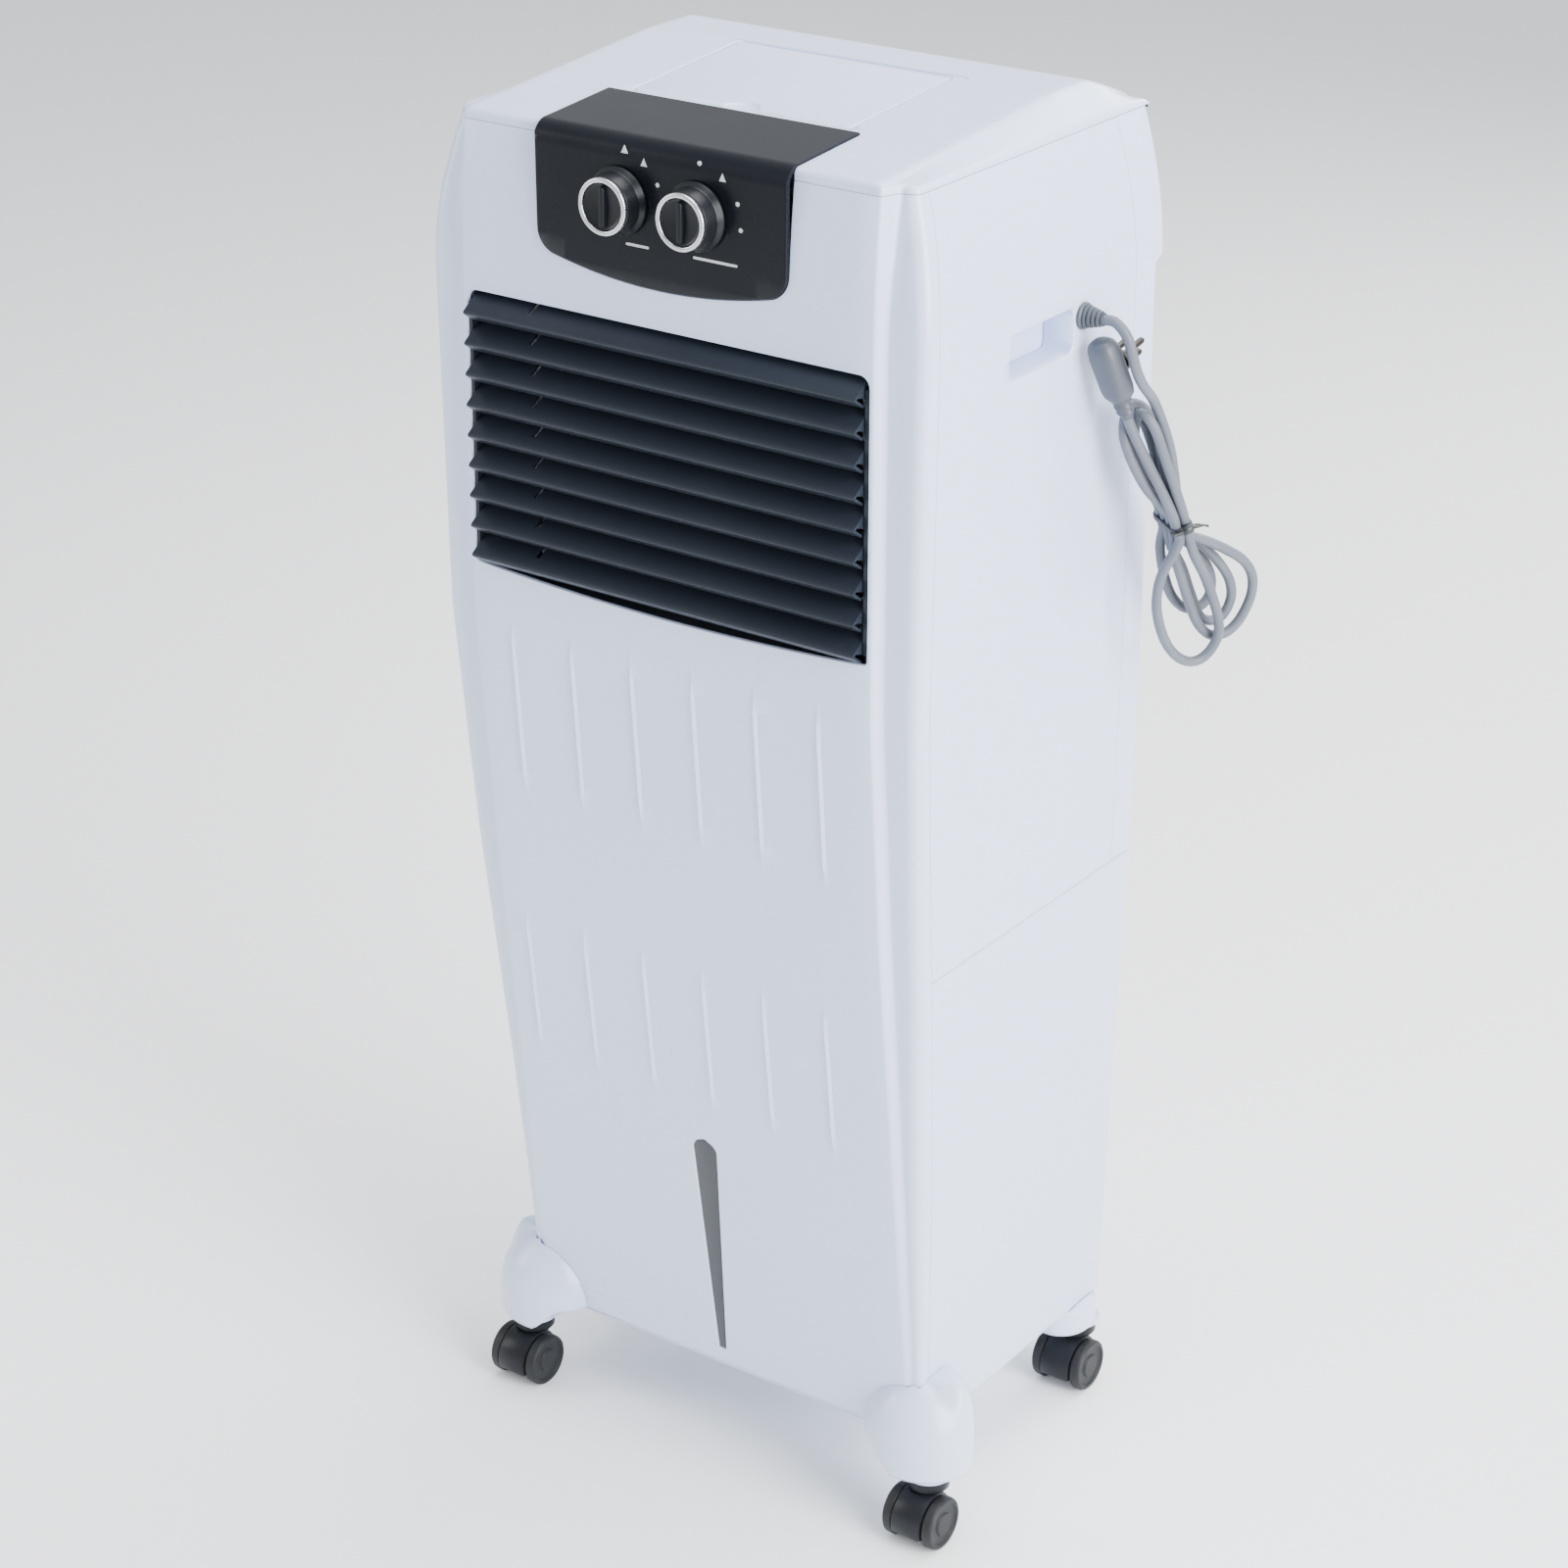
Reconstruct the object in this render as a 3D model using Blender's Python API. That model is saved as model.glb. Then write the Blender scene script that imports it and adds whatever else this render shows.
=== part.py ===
"""Tower evaporative cooler on casters: casing, louvres, blower, wet pad, tank, pump and mains lead.

Metres, +Z up. The front faces -Y, +X is the user's right. The origin is on the floor under
the middle of the machine. Each object is one physical piece and each moving piece has its
origin on its joint axis.
"""
import math

import bmesh
import bpy
from mathutils import Matrix, Vector

# ---- clearances and walls -------------------------------------------------------------------
GAP = 0.0003            # between pieces that touch
RUN = 0.0004            # radial running clearance of a pin in its hole
PLAY = 0.0008           # round a piece that swings or slides
WALL = 0.0025           # moulded casing wall

# ---- casing: heights ------------------------------------------------------------------------
BASE_Z = 0.0715         # lower edge of the casing
SEAM_Z = 0.4255         # joint between tank and upper casing
CREASE_Z = 0.4435       # front changes slope
KINK_Z = 0.6055         # front becomes upright
SHOULDER_Z = 0.8335     # casing starts to draw in
EAVES_Z = 0.9295        # top cover sits here
FRONT_CROWN_Z = 0.9365  # top surface at the front
CROWN_Z = 0.9505        # top surface at the back

# ---- casing: half widths at those heights ---------------------------------------------------
BASE_HALF_W = 0.1620
SEAM_HALF_W = 0.1775
KINK_HALF_W = 0.1825
SHOULDER_HALF_W = 0.1850
EAVES_HALF_W = 0.1680
RIDGE_X = 0.1555        # raised middle field of the front ends here
BAND_STEP = 0.0065      # the side bands lie this far behind it
CORNER_R = 0.0090

# ---- casing: depths -------------------------------------------------------------------------
FRONT_Y = -0.1400
CREASE_Y = -0.1270
BASE_FRONT_Y = -0.0860
EAVES_FRONT_Y = -0.1340
REAR_TOP_Y = 0.1290     # back, just under the hood lip
REAR_BASE_Y = 0.1500
LIP_Y = 0.1370          # hood lip over the pad frame
LIP_Z = 0.8385
STRIP_W = 0.0300        # rear casing's strip at each side

# ---- top cover and lid ----------------------------------------------------------------------
CROWN_HALF_W = 0.1520
CROWN_BACK_Y = 0.0900   # top surface turns down to the back here
COVER_R = 0.0050
LID_HALF_W = 0.0800
LID_FRONT_Y = -0.0600
HINGE_Y = 0.0480
LID_T = 0.0026
LID_BARREL_R = 0.0026
ICE_TRAY_DEPTH = 0.0420

# ---- control fascia -------------------------------------------------------------------------
FASCIA_HALF_W = 0.0925
FASCIA_BACK_Y = -0.0680
FASCIA_LOW_Z = 0.8575   # at the lower corners
FASCIA_SAG = 0.0090     # lower edge bows down by this in the middle
FASCIA_T = 0.0030
FASCIA_PROUD = 0.0015
FASCIA_BEND_R = 0.0120
FASCIA_CORNER_R = 0.0160

# ---- knobs ----------------------------------------------------------------------------------
KNOB_X = 0.0285
KNOB_Z = 0.8995
KNOB_R = 0.0180
KNOB_H = 0.0170
KNOB_RING_W = 0.0034
KNOB_RING_H = 0.0030
KNOB_SHAFT_R = 0.0030
SWITCH_SIZE = (0.034, 0.020, 0.034)

# ---- air outlet: louvres --------------------------------------------------------------------
OUTLET_HALF_W = 0.1495
OUTLET_TOP_Z = 0.8240
OUTLET_LOW_Z = 0.6450
OUTLET_SAG = 0.0060
OUTLET_CORNER_R = 0.0070
LOUVRES = 9
LOUVRE_PIVOT_Y = -0.1365
LOUVRE_T = 0.0016
LOUVRE_NOSE = 0.0140    # nose ahead of the pivot
LOUVRE_RISE = 0.0085
CHEEK_T = 0.0027
FRAME_LIP = 0.0008      # frame reaches this far past the opening's sides
FRAME_BACK_Y = -0.1125
CRANK_R = 0.0100
CRANK_X = -0.1000
LINK_T = 0.0022         # louvre link across
LINK_HALF_DEPTH = 0.0032
NOTCH_FRONT = -0.0050   # each blade is notched behind this, ahead of its pivot, to clear the link
PIN_R = 0.0015

# ---- air outlet: upright vanes --------------------------------------------------------------
VANES = 5
VANE_PITCH = 0.0540
VANE_CHORD = 0.0240
VANE_T = 0.0016
VANE_PIVOT_Y = -0.0980

# ---- duct and blower ------------------------------------------------------------------------
DUCT_FLOOR_Z = 0.6485
DUCT_BACK_Y = 0.0460
BLOWER_X = -0.0220
BLOWER_Z = 0.5555
SCROLL_R0 = 0.0880
SCROLL_R1 = 0.1180
TONGUE_DEG = 60.0
BLOWER_FRONT_Y = -0.0880
BLOWER_BACK_Y = 0.0400
INLET_R = 0.0600
WHEEL_R = 0.0780
WHEEL_RIM = 0.0120
BLADES = 16
MOTOR_R = 0.0430
MOTOR_L = 0.0360
SHAFT_R = 0.0040

# ---- wet pad --------------------------------------------------------------------------------
PAD_HALF_W = 0.1330
PAD_LOW_Z = 0.4695
PAD_TOP_Z = 0.8155
GRILLE_T = 0.0060
PAD_T = 0.0320
SLAT_ROWS = 14
SLAT_COLUMNS = 3

# ---- water side -----------------------------------------------------------------------------
TANK_WALL = 0.0030
TANK_FRONT_SPACE = 0.0200   # tank's front wall lies this far behind the front panel
PUMP_SIZE = (0.042, 0.036, 0.040)
PUMP_X = -0.0950
PUMP_Y = 0.0600
HOSE_R = 0.0050
HOSE_X = -0.1430
WINDOW_LOW_Z = 0.0825
WINDOW_TOP_Z = 0.2555
WINDOW_HALF_TOP = 0.0095
WINDOW_HALF_LOW = 0.0026
WINDOW_T = 0.0020
FLOAT_TRAVEL = 0.1300
DRAIN_X = 0.1000
DRAIN_Z = 0.0975
DRAIN_R = 0.0100
DRAIN_GRIP_R = 0.0075
DRAIN_OUT_Y = 0.1595     # end of the drain plug's grip

# ---- handles --------------------------------------------------------------------------------
HANDLE_FRONT_Y = -0.0440
HANDLE_L = 0.0720
HANDLE_Z = 0.8155
HANDLE_H = 0.0280
HANDLE_DEPTH = 0.0230

# ---- base and casters -----------------------------------------------------------------------
PLATE_T = 0.0120
FOOT_LOW_Z = 0.0475
FOOT_TOP_Z = 0.1170
FOOT_HALF_X = 0.0385
FOOT_HALF_Y = 0.0320
FOOT_X = 0.1570
FRONT_FOOT_Y = -0.0790
FOOT_SIDES = 16
FOOT_RISE = 1.0000      # slope of the foot's underside towards the middle
REAR_FOOT_X = 0.1470
REAR_FOOT_Y = 0.1210
REAR_FOOT_HALF_X = 0.0250
REAR_FOOT_HALF_Y = 0.0270
FRONT_CASTER_X = 0.1690
REAR_CASTER_X = 0.1500
FRONT_CASTER_Y = -0.0850
REAR_CASTER_Y = 0.1340
BOSS_R = 0.0170
STEM_R = 0.0050
STEM_L = 0.0200
HOOD_R = 0.0198
HOOD_HALF_W = 0.0115
WHEEL_RADIUS = 0.0185
WHEEL_W = 0.0075
WHEEL_IN = 0.0120       # inner face of each wheel from the hood's middle
TRAIL = 0.0090

# ---- mains lead -----------------------------------------------------------------------------
CORD_R = 0.0033
GLAND_Y = 0.0370
GLAND_Z = 0.8225
GLAND_L = 0.0150
GLAND_R = 0.0075
LEAD_ROUTE = ((0.0231, 0.0370, 0.8225), (0.0306, 0.0378, 0.8150), (0.0341, 0.0395, 0.8030),
              (0.0353, 0.0440, 0.7910), (0.0359, 0.0515, 0.7805))   # first value: out from the side wall
HANK_TOP = (0.0306, 0.0590, 0.7625)     # first value: out from the side wall
HANK_LEAN = (0.0573, 0.3822)    # run along X and Y for each metre that the hank hangs
HANK_ACROSS = (0.5000, 0.8660)
LEAD_ACROSS = 0.0095    # lead enters the hank's top this far from its middle
HANK_RIGHT = ((0.0, 0.0140), (0.0805, 0.0115), (0.0945, 0.0115), (0.1150, 0.0270), (0.1400, 0.0420),
              (0.1630, 0.0475), (0.1820, 0.0420), (0.1980, 0.0260), (0.2040, 0.0080))
HANK_LEFT = ((0.1990, -0.0110), (0.1820, -0.0225), (0.1570, -0.0275), (0.1320, -0.0265),
             (0.1030, -0.0115), (0.0945, -0.0045), (0.0805, -0.0045), (0.0, -0.0165))
HANK_HALF_T = 0.0110
TIE_DOWN = 0.0875
TIE_W = 0.0070
TIE_T = 0.0020
PLUG_TOP = (0.0141, 0.0345, 0.8100)     # first value: out from the side wall
PLUG_ACROSS = -0.0100   # plug's lead enters the hank's top here
PLUG_STATIONS = ((0.0, 0.0065, 0.0055), (0.0030, 0.0096, 0.0080), (0.0100, 0.0105, 0.0088),
                 (0.0340, 0.0105, 0.0088), (0.0420, 0.0078, 0.0070), (0.0500, 0.0052, 0.0050))
PIN_RUN = (0.2000, 1.0000, 0.1200)
PIN_DOWN = 0.0170       # pins stand this far down the plug
PLUG_PIN_L = 0.0190
PLUG_PIN_R = 0.0022

CURVE_SIDES = 20


# ---- shape of the casing --------------------------------------------------------------------
def blend(value, stations):
    """Straight-line value at a height, from (height, value) stations."""
    for (z0, v0), (z1, v1) in zip(stations, stations[1:]):
        if value <= z1:
            return v0 + (v1 - v0) * (value - z0) / (z1 - z0)
    return stations[-1][1]


def draw_in(z):
    """0 up to the shoulder, rising as a parabola to 1 at the eaves."""
    return max(0.0, (z - SHOULDER_Z) / (EAVES_Z - SHOULDER_Z)) ** 2


def half_width(z):
    body = blend(z, ((BASE_Z, BASE_HALF_W), (SEAM_Z, SEAM_HALF_W), (KINK_Z, KINK_HALF_W),
                     (SHOULDER_Z, SHOULDER_HALF_W), (EAVES_Z, SHOULDER_HALF_W)))
    return body + (EAVES_HALF_W - SHOULDER_HALF_W) * draw_in(z)


def front_y(z):
    body = blend(z, ((BASE_Z, BASE_FRONT_Y), (CREASE_Z, CREASE_Y), (KINK_Z, FRONT_Y), (EAVES_Z, FRONT_Y)))
    return body + (EAVES_FRONT_Y - FRONT_Y) * draw_in(z)


def rear_y(z):
    return REAR_BASE_Y + (REAR_TOP_Y - REAR_BASE_Y) * (z - BASE_Z) / (SHOULDER_Z - BASE_Z)


def band_depth(z):
    room = (half_width(z) - RIDGE_X) / (SEAM_HALF_W - RIDGE_X)
    return BAND_STEP * min(1.0, room) + 0.009 * draw_in(z)


def corner_radius(z):
    return min(CORNER_R, 0.6 * (half_width(z) - RIDGE_X))


def panel_end_y(z):
    """Where the front panel's return meets the side wall."""
    return front_y(z) + band_depth(z) + corner_radius(z) + 0.004


def side_end_y(z):
    return rear_y(z) - STRIP_W


def crown_z(y):
    slope = (CROWN_Z - FRONT_CROWN_Z) / (HINGE_Y - EAVES_FRONT_Y)
    return min(CROWN_Z, FRONT_CROWN_Z + slope * (y - EAVES_FRONT_Y))


# ---- building blocks ------------------------------------------------------------------------
def clear_scene():
    for item in list(bpy.data.objects):
        bpy.data.objects.remove(item, do_unlink=True)


def finish(colour, roughness=0.5, metallic=0.0):
    return {"colour": colour, "roughness": roughness, "metallic": metallic}


WHITE = finish((0.86, 0.88, 0.92), 0.35)
INNER_WHITE = finish((0.75, 0.77, 0.80), 0.50)
SLATE = finish((0.035, 0.042, 0.055), 0.45)
BLACK = finish((0.012, 0.014, 0.018), 0.25)
RUBBER = finish((0.020, 0.022, 0.025), 0.70)
SILVER = finish((0.75, 0.76, 0.78), 0.25, 0.9)
STEEL = finish((0.45, 0.46, 0.48), 0.40, 0.8)
GREY = finish((0.30, 0.33, 0.36), 0.50)
SMOKE = finish((0.10, 0.11, 0.13), 0.20)
PAPER = finish((0.30, 0.20, 0.10), 0.90)
RED = finish((0.65, 0.05, 0.04), 0.50)
BRASS = finish((0.70, 0.55, 0.25), 0.30, 0.9)


def add_object(name, bm, look, origin=(0.0, 0.0, 0.0)):
    """Make a named object; origin is the point that it turns or slides about."""
    bmesh.ops.remove_doubles(bm, verts=bm.verts, dist=1e-6)
    bmesh.ops.recalc_face_normals(bm, faces=bm.faces)
    bmesh.ops.translate(bm, verts=bm.verts, vec=-Vector(origin))
    mesh = bpy.data.meshes.new(name)
    bm.to_mesh(mesh)
    bm.free()
    mesh.shade_smooth()
    mesh.set_sharp_from_angle(angle=math.radians(35))
    item = bpy.data.objects.new(name, mesh)
    item.location = origin
    bpy.context.scene.collection.objects.link(item)
    material = bpy.data.materials.new(name)
    material.use_nodes = True
    shader = material.node_tree.nodes["Principled BSDF"]
    shader.inputs["Base Color"].default_value = (*look["colour"], 1.0)
    shader.inputs["Roughness"].default_value = look["roughness"]
    shader.inputs["Metallic"].default_value = look["metallic"]
    mesh.materials.append(material)
    return item


def combine(item, tool, operation):
    """Boolean modifier with a hidden tool body."""
    tool.hide_render = True
    tool.display_type = "WIRE"
    modifier = item.modifiers.new(tool.name, "BOOLEAN")
    modifier.operation = operation
    modifier.solver = "EXACT"
    modifier.object = tool


def tool_object(name, bm):
    bmesh.ops.recalc_face_normals(bm, faces=bm.faces)
    mesh = bpy.data.meshes.new(name)
    bm.to_mesh(mesh)
    bm.free()
    item = bpy.data.objects.new(name, mesh)
    bpy.context.scene.collection.objects.link(item)
    return item


def cut(item, bm):
    combine(item, tool_object("cutter_" + item.name, bm), "DIFFERENCE")


def fuse(item, bm):
    combine(item, tool_object("joined_" + item.name, bm), "UNION")


def keep_within(item, bm):
    combine(item, tool_object("outline_" + item.name, bm), "INTERSECT")


def add_box(bm, low, high):
    corners = [bm.verts.new((x, y, z)) for x in (low[0], high[0]) for y in (low[1], high[1])
               for z in (low[2], high[2])]
    for ring in ((0, 1, 3, 2), (4, 6, 7, 5), (0, 4, 5, 1), (2, 3, 7, 6), (0, 2, 6, 4), (1, 5, 7, 3)):
        bm.faces.new([corners[index] for index in ring])


def box(low, high):
    bm = bmesh.new()
    add_box(bm, low, high)
    return bm


def add_rings(bm, rings):
    """Skin a stack of closed rings of equal count and cap both ends."""
    rows = [[bm.verts.new(point) for point in ring] for ring in rings]
    count = len(rows[0])
    for lower, upper in zip(rows, rows[1:]):
        for index in range(count):
            after = (index + 1) % count
            bm.faces.new((lower[index], lower[after], upper[after], upper[index]))
    bm.faces.new(rows[0])
    bm.faces.new(rows[-1])


def add_prism(bm, outline, axis, low, high):
    """Extrude a flat outline along an axis: X takes (y, z), Y takes (x, z), Z takes (x, y)."""
    place = {"X": lambda a, b, c: (c, a, b), "Y": lambda a, b, c: (a, c, b), "Z": lambda a, b, c: (a, b, c)}
    add_rings(bm, [[place[axis](a, b, c) for a, b in outline] for c in (low, high)])


def prism(outline, axis, low, high):
    bm = bmesh.new()
    add_prism(bm, outline, axis, low, high)
    return bm


def circle(centre, radius, sides=CURVE_SIDES, start=0.0):
    return [(centre[0] + radius * math.cos(start + math.tau * i / sides),
             centre[1] + radius * math.sin(start + math.tau * i / sides)) for i in range(sides)]


def arc(centre, radius, start, end, steps):
    angles = [math.radians(start + (end - start) * i / steps) for i in range(steps + 1)]
    return [(centre[0] + radius * math.cos(a), centre[1] + radius * math.sin(a)) for a in angles]


def add_turned(bm, profile, centre, axis, sides=CURVE_SIDES):
    """Turn a (radius, along) profile about an axis line through centre; ends close on flat caps."""
    frame = Vector((0, 0, 1)).rotation_difference(Vector(axis)).to_matrix()
    rings = []
    for radius, along in profile:
        rings.append([Vector(centre) + frame @ Vector((x, y, along)) for x, y in circle((0, 0), radius, sides)])
    add_rings(bm, rings)


def turned(profile, centre, axis, sides=CURVE_SIDES):
    bm = bmesh.new()
    add_turned(bm, profile, centre, axis, sides)
    return bm


def turned_ring(profile, centre, axis, sides=CURVE_SIDES):
    """Turn a closed (radius, along) outline about an axis line through centre."""
    bm = bmesh.new()
    frame = Vector((0, 0, 1)).rotation_difference(Vector(axis)).to_matrix()
    rows = []
    for step in range(sides):
        turn = Matrix.Rotation(math.tau * step / sides, 3, "Z")
        rows.append([bm.verts.new(Vector(centre) + frame @ turn @ Vector((r, 0, a))) for r, a in profile])
    count = len(profile)
    for step, row in enumerate(rows):
        following = rows[(step + 1) % sides]
        for index in range(count):
            after = (index + 1) % count
            bm.faces.new((row[index], row[after], following[after], following[index]))
    return bm


def thick_sheet(outer, inner):
    """Closed wall between two equal grids of points."""
    bm = bmesh.new()
    skins = [[[bm.verts.new(point) for point in row] for row in grid] for grid in (outer, inner)]
    rows, columns = len(outer), len(outer[0])
    for skin in skins:
        for i in range(rows - 1):
            for j in range(columns - 1):
                bm.faces.new((skin[i][j], skin[i][j + 1], skin[i + 1][j + 1], skin[i + 1][j]))
    front, back = skins
    for i in range(rows - 1):
        for j in (0, columns - 1):
            bm.faces.new((front[i][j], front[i + 1][j], back[i + 1][j], back[i][j]))
    for j in range(columns - 1):
        for i in (0, rows - 1):
            bm.faces.new((front[i][j], front[i][j + 1], back[i][j + 1], back[i][j]))
    return bm


def offset_line(points, distance):
    """Move an open flat line to its left by a distance, with mitred corners."""
    moved = []
    for index, point in enumerate(points):
        here = Vector(point)
        before = (here - Vector(points[index - 1])).normalized() if index else None
        after = (Vector(points[index + 1]) - here).normalized() if index < len(points) - 1 else None
        before = before or after
        after = after or before
        normal = (Vector((-before.y, before.x)) + Vector((-after.y, after.x))).normalized()
        reach = distance / max(0.3, normal.dot(Vector((-after.y, after.x))))
        moved.append(tuple(here + normal * reach))
    return moved


def wall_from(levels, line_at, thickness):
    """Upright wall: line_at(z) gives its outer (x, y) line, running so that inside is on its left."""
    outer, inner = [], []
    for z in levels:
        line = line_at(z)
        outer.append([(x, y, z) for x, y in line])
        inner.append([(x, y, z) for x, y in offset_line(line, thickness)])
    return thick_sheet(outer, inner)


def levels_between(low, high, extra=()):
    marks = [CREASE_Z, 0.5 * (CREASE_Z + KINK_Z), KINK_Z, SHOULDER_Z]
    marks += [SHOULDER_Z + (EAVES_Z - SHOULDER_Z) * share for share in (0.35, 0.6, 0.8)]
    marks += list(extra)
    inside = [z for z in marks if low + 0.004 < z < high - 0.004]
    return [low] + sorted(set(inside)) + [high]


def rounded_panel(half_w, low, high, sag, low_r, high_r):
    """Panel outline in X-Z with round corners and a lower edge that bows down."""
    points = []
    steps = 8
    points += arc((half_w - high_r, high - high_r), high_r, 0, 90, 4) if high_r else [(half_w, high)]
    left = [(-x, z) for x, z in reversed(points)]
    lower = [(-x, z) for x, z in arc((half_w - low_r, low + low_r), low_r, 0, -70, 4)]
    bow = []
    for step in range(1, steps):
        x = (half_w - low_r) * (2.0 * step / steps - 1.0)
        bow.append((x, low - sag * (1.0 - (x / (half_w - low_r)) ** 2)))
    right = [(-x, z) for x, z in reversed(lower)]
    return points + left + lower + bow + right


# ---- casing pieces --------------------------------------------------------------------------
def front_line(z):
    """Front panel's outer line at a height, from the right-hand return to the left-hand one."""
    y, w, r = front_y(z), half_width(z), corner_radius(z)
    back = y + band_depth(z)
    half = [(RIDGE_X - 0.004, y), (RIDGE_X, y + 0.35 * band_depth(z)), (RIDGE_X + 0.0025, back)]
    half += [(w - r, back), (w - 0.3 * r, back + 0.3 * r), (w, back + r), (w, panel_end_y(z))]
    return [(-px, py) for px, py in reversed(half)] + half


def fascia_outline(margin):
    return rounded_panel(FASCIA_HALF_W + margin, FASCIA_LOW_Z - margin, CROWN_Z + 0.02, FASCIA_SAG,
                         FASCIA_CORNER_R, 0.0)


def outlet_outline(margin=0.0):
    return rounded_panel(OUTLET_HALF_W + margin, OUTLET_LOW_Z - margin, OUTLET_TOP_Z + margin, OUTLET_SAG,
                         0.002, OUTLET_CORNER_R)


def window_half(z, margin=0.0):
    """Half width of the level window: tapered, with a round top."""
    share = (z - WINDOW_LOW_Z) / (WINDOW_TOP_Z - WINDOW_LOW_Z)
    straight = WINDOW_HALF_LOW + (WINDOW_HALF_TOP - WINDOW_HALF_LOW) * share
    drop = WINDOW_TOP_Z - z
    if drop < WINDOW_HALF_TOP:
        straight = min(straight, math.sqrt(max(0.0, WINDOW_HALF_TOP ** 2 - (WINDOW_HALF_TOP - drop) ** 2)) + 0.001)
    return straight + margin


def window_levels():
    crown = [WINDOW_TOP_Z - WINDOW_HALF_TOP * (1.0 - math.sin(math.radians(a))) for a in (0, 35, 60, 90)]
    return [WINDOW_LOW_Z, 0.5 * (WINDOW_LOW_Z + WINDOW_TOP_Z)] + crown


def window_ring(margin):
    """Outline of the level window in X-Z."""
    levels = window_levels()
    right = [(window_half(z, margin), z) for z in levels]
    right[0] = (right[0][0], right[0][1] - margin)
    right[-1] = (right[-1][0], right[-1][1] + margin)
    return right + [(-x, z) for x, z in reversed(right)]


def build_front_panel():
    levels = levels_between(BASE_Z, EAVES_Z - GAP, (0.20, 0.33))
    panel = add_object("front_panel", wall_from(levels, front_line, WALL), WHITE)
    bm = prism(outlet_outline(), "Y", FRONT_Y - 0.02, FRONT_Y + 0.02)
    add_prism(bm, fascia_outline(GAP), "Y", FRONT_Y - 0.02, FRONT_Y + 0.03)
    add_prism(bm, window_ring(GAP), "Y", CREASE_Y - 0.02, BASE_FRONT_Y + 0.02)
    cut(panel, bm)


def build_side_panel(side):
    """Upper side wall with its grip recess; side is +1 for the user's right."""
    name = "side_panel_right" if side > 0 else "side_panel_left"
    low, high = SEAM_Z + GAP, EAVES_Z - GAP

    def line(z):
        ends = (panel_end_y(z) + GAP, side_end_y(z) - GAP)
        order = ends if side > 0 else ends[::-1]
        return [(side * half_width(z), y) for y in (order[0], 0.5 * (order[0] + order[1]), order[1])]

    item = add_object(name, wall_from(levels_between(low, high), line, WALL), WHITE)
    x_out = side * (half_width(HANDLE_Z) + 0.004)
    x_skin = side * (half_width(HANDLE_Z) - 0.5 * WALL)
    x_in = side * (half_width(HANDLE_Z) - HANDLE_DEPTH)
    z0, z1 = HANDLE_Z - 0.5 * HANDLE_H, HANDLE_Z + 0.5 * HANDLE_H
    y0, y1 = HANDLE_FRONT_Y, HANDLE_FRONT_Y + HANDLE_L
    fuse(item, box((min(x_skin, x_in - side * WALL), y0 - WALL, z0 - WALL),
                   (max(x_skin, x_in - side * WALL), y1 + WALL, z1 + WALL)))
    bm = box((min(x_out, x_in), y0, z0), (max(x_out, x_in), y1, z1))
    if side > 0:
        add_turned(bm, ((CORD_R + 0.002, -0.02), (CORD_R + 0.002, 0.02)),
                   (half_width(GLAND_Z), GLAND_Y, GLAND_Z), (1, 0, 0), 16)
    cut(item, bm)


def rear_line(z):
    """Rear casing's outer line, from the left strip round the back to the right strip."""
    w = half_width(z)
    back = LIP_Y if z >= LIP_Z else rear_y(z)
    right = [(w, side_end_y(z)), (w, back - 0.008), (w - 0.0024, back - 0.0024), (w - 0.008, back)]
    return right + [(-x, y) for x, y in reversed(right)]


def build_rear_casing():
    levels = levels_between(SEAM_Z + GAP, EAVES_Z - GAP, (LIP_Z - 0.0041, LIP_Z))
    casing = add_object("rear_casing", wall_from(levels, rear_line, WALL), WHITE)
    cut(casing, box((-PAD_HALF_W, 0.08, PAD_LOW_Z), (PAD_HALF_W, 0.18, PAD_TOP_Z)))


def cover_section(y, inset):
    """Half section of the cover's outside across the machine at a depth y."""
    top = crown_z(y) - inset
    fall = max(0.0, (y - CROWN_BACK_Y) / (LIP_Y - CROWN_BACK_Y))
    top -= (CROWN_Z - EAVES_Z - 0.004) * fall
    edge = min(EAVES_Z + 0.0035, top - 0.001)
    ease = COVER_R * 0.5
    half = [(EAVES_HALF_W - inset, EAVES_Z), (EAVES_HALF_W - inset, edge),
            (CROWN_HALF_W + 0.002, max(edge, top - ease)), (CROWN_HALF_W - 0.004, top)]
    return half


def cover_body(inset, drop):
    """Solid of the top cover's outside, moved in by inset; drop carries its underside down."""
    stations = [EAVES_FRONT_Y + inset, EAVES_FRONT_Y + 0.004 + inset, 0.5 * (EAVES_FRONT_Y + HINGE_Y),
                HINGE_Y, CROWN_BACK_Y, 0.5 * (CROWN_BACK_Y + LIP_Y), LIP_Y - inset]
    rings = []
    for index, y in enumerate(stations):
        half = cover_section(y, inset)
        if index == 0:
            half = [(x, min(z, EAVES_Z + 0.0045 - inset)) for x, z in half]
            half[2] = (half[2][0], half[1][1])
            half[3] = (half[3][0], half[1][1] + 0.0006)
        half[0] = (half[0][0], EAVES_Z - drop)
        ring = [(x, y, z) for x, z in half] + [(-x, y, z) for x, z in reversed(half)]
        rings.append(ring)
    bm = bmesh.new()
    add_rings(bm, rings)
    return bm


def cover_plan(inset):
    """Upright solid with the cover's plan: it follows the front panel's line, set in by inset."""
    line = offset_line(front_line(EAVES_Z), inset) if inset else front_line(EAVES_Z)
    line = line + [(line[-1][0], LIP_Y + 0.01), (line[0][0], LIP_Y + 0.01)]
    return prism(line, "Z", EAVES_Z - 0.02, CROWN_Z + 0.02)


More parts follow.
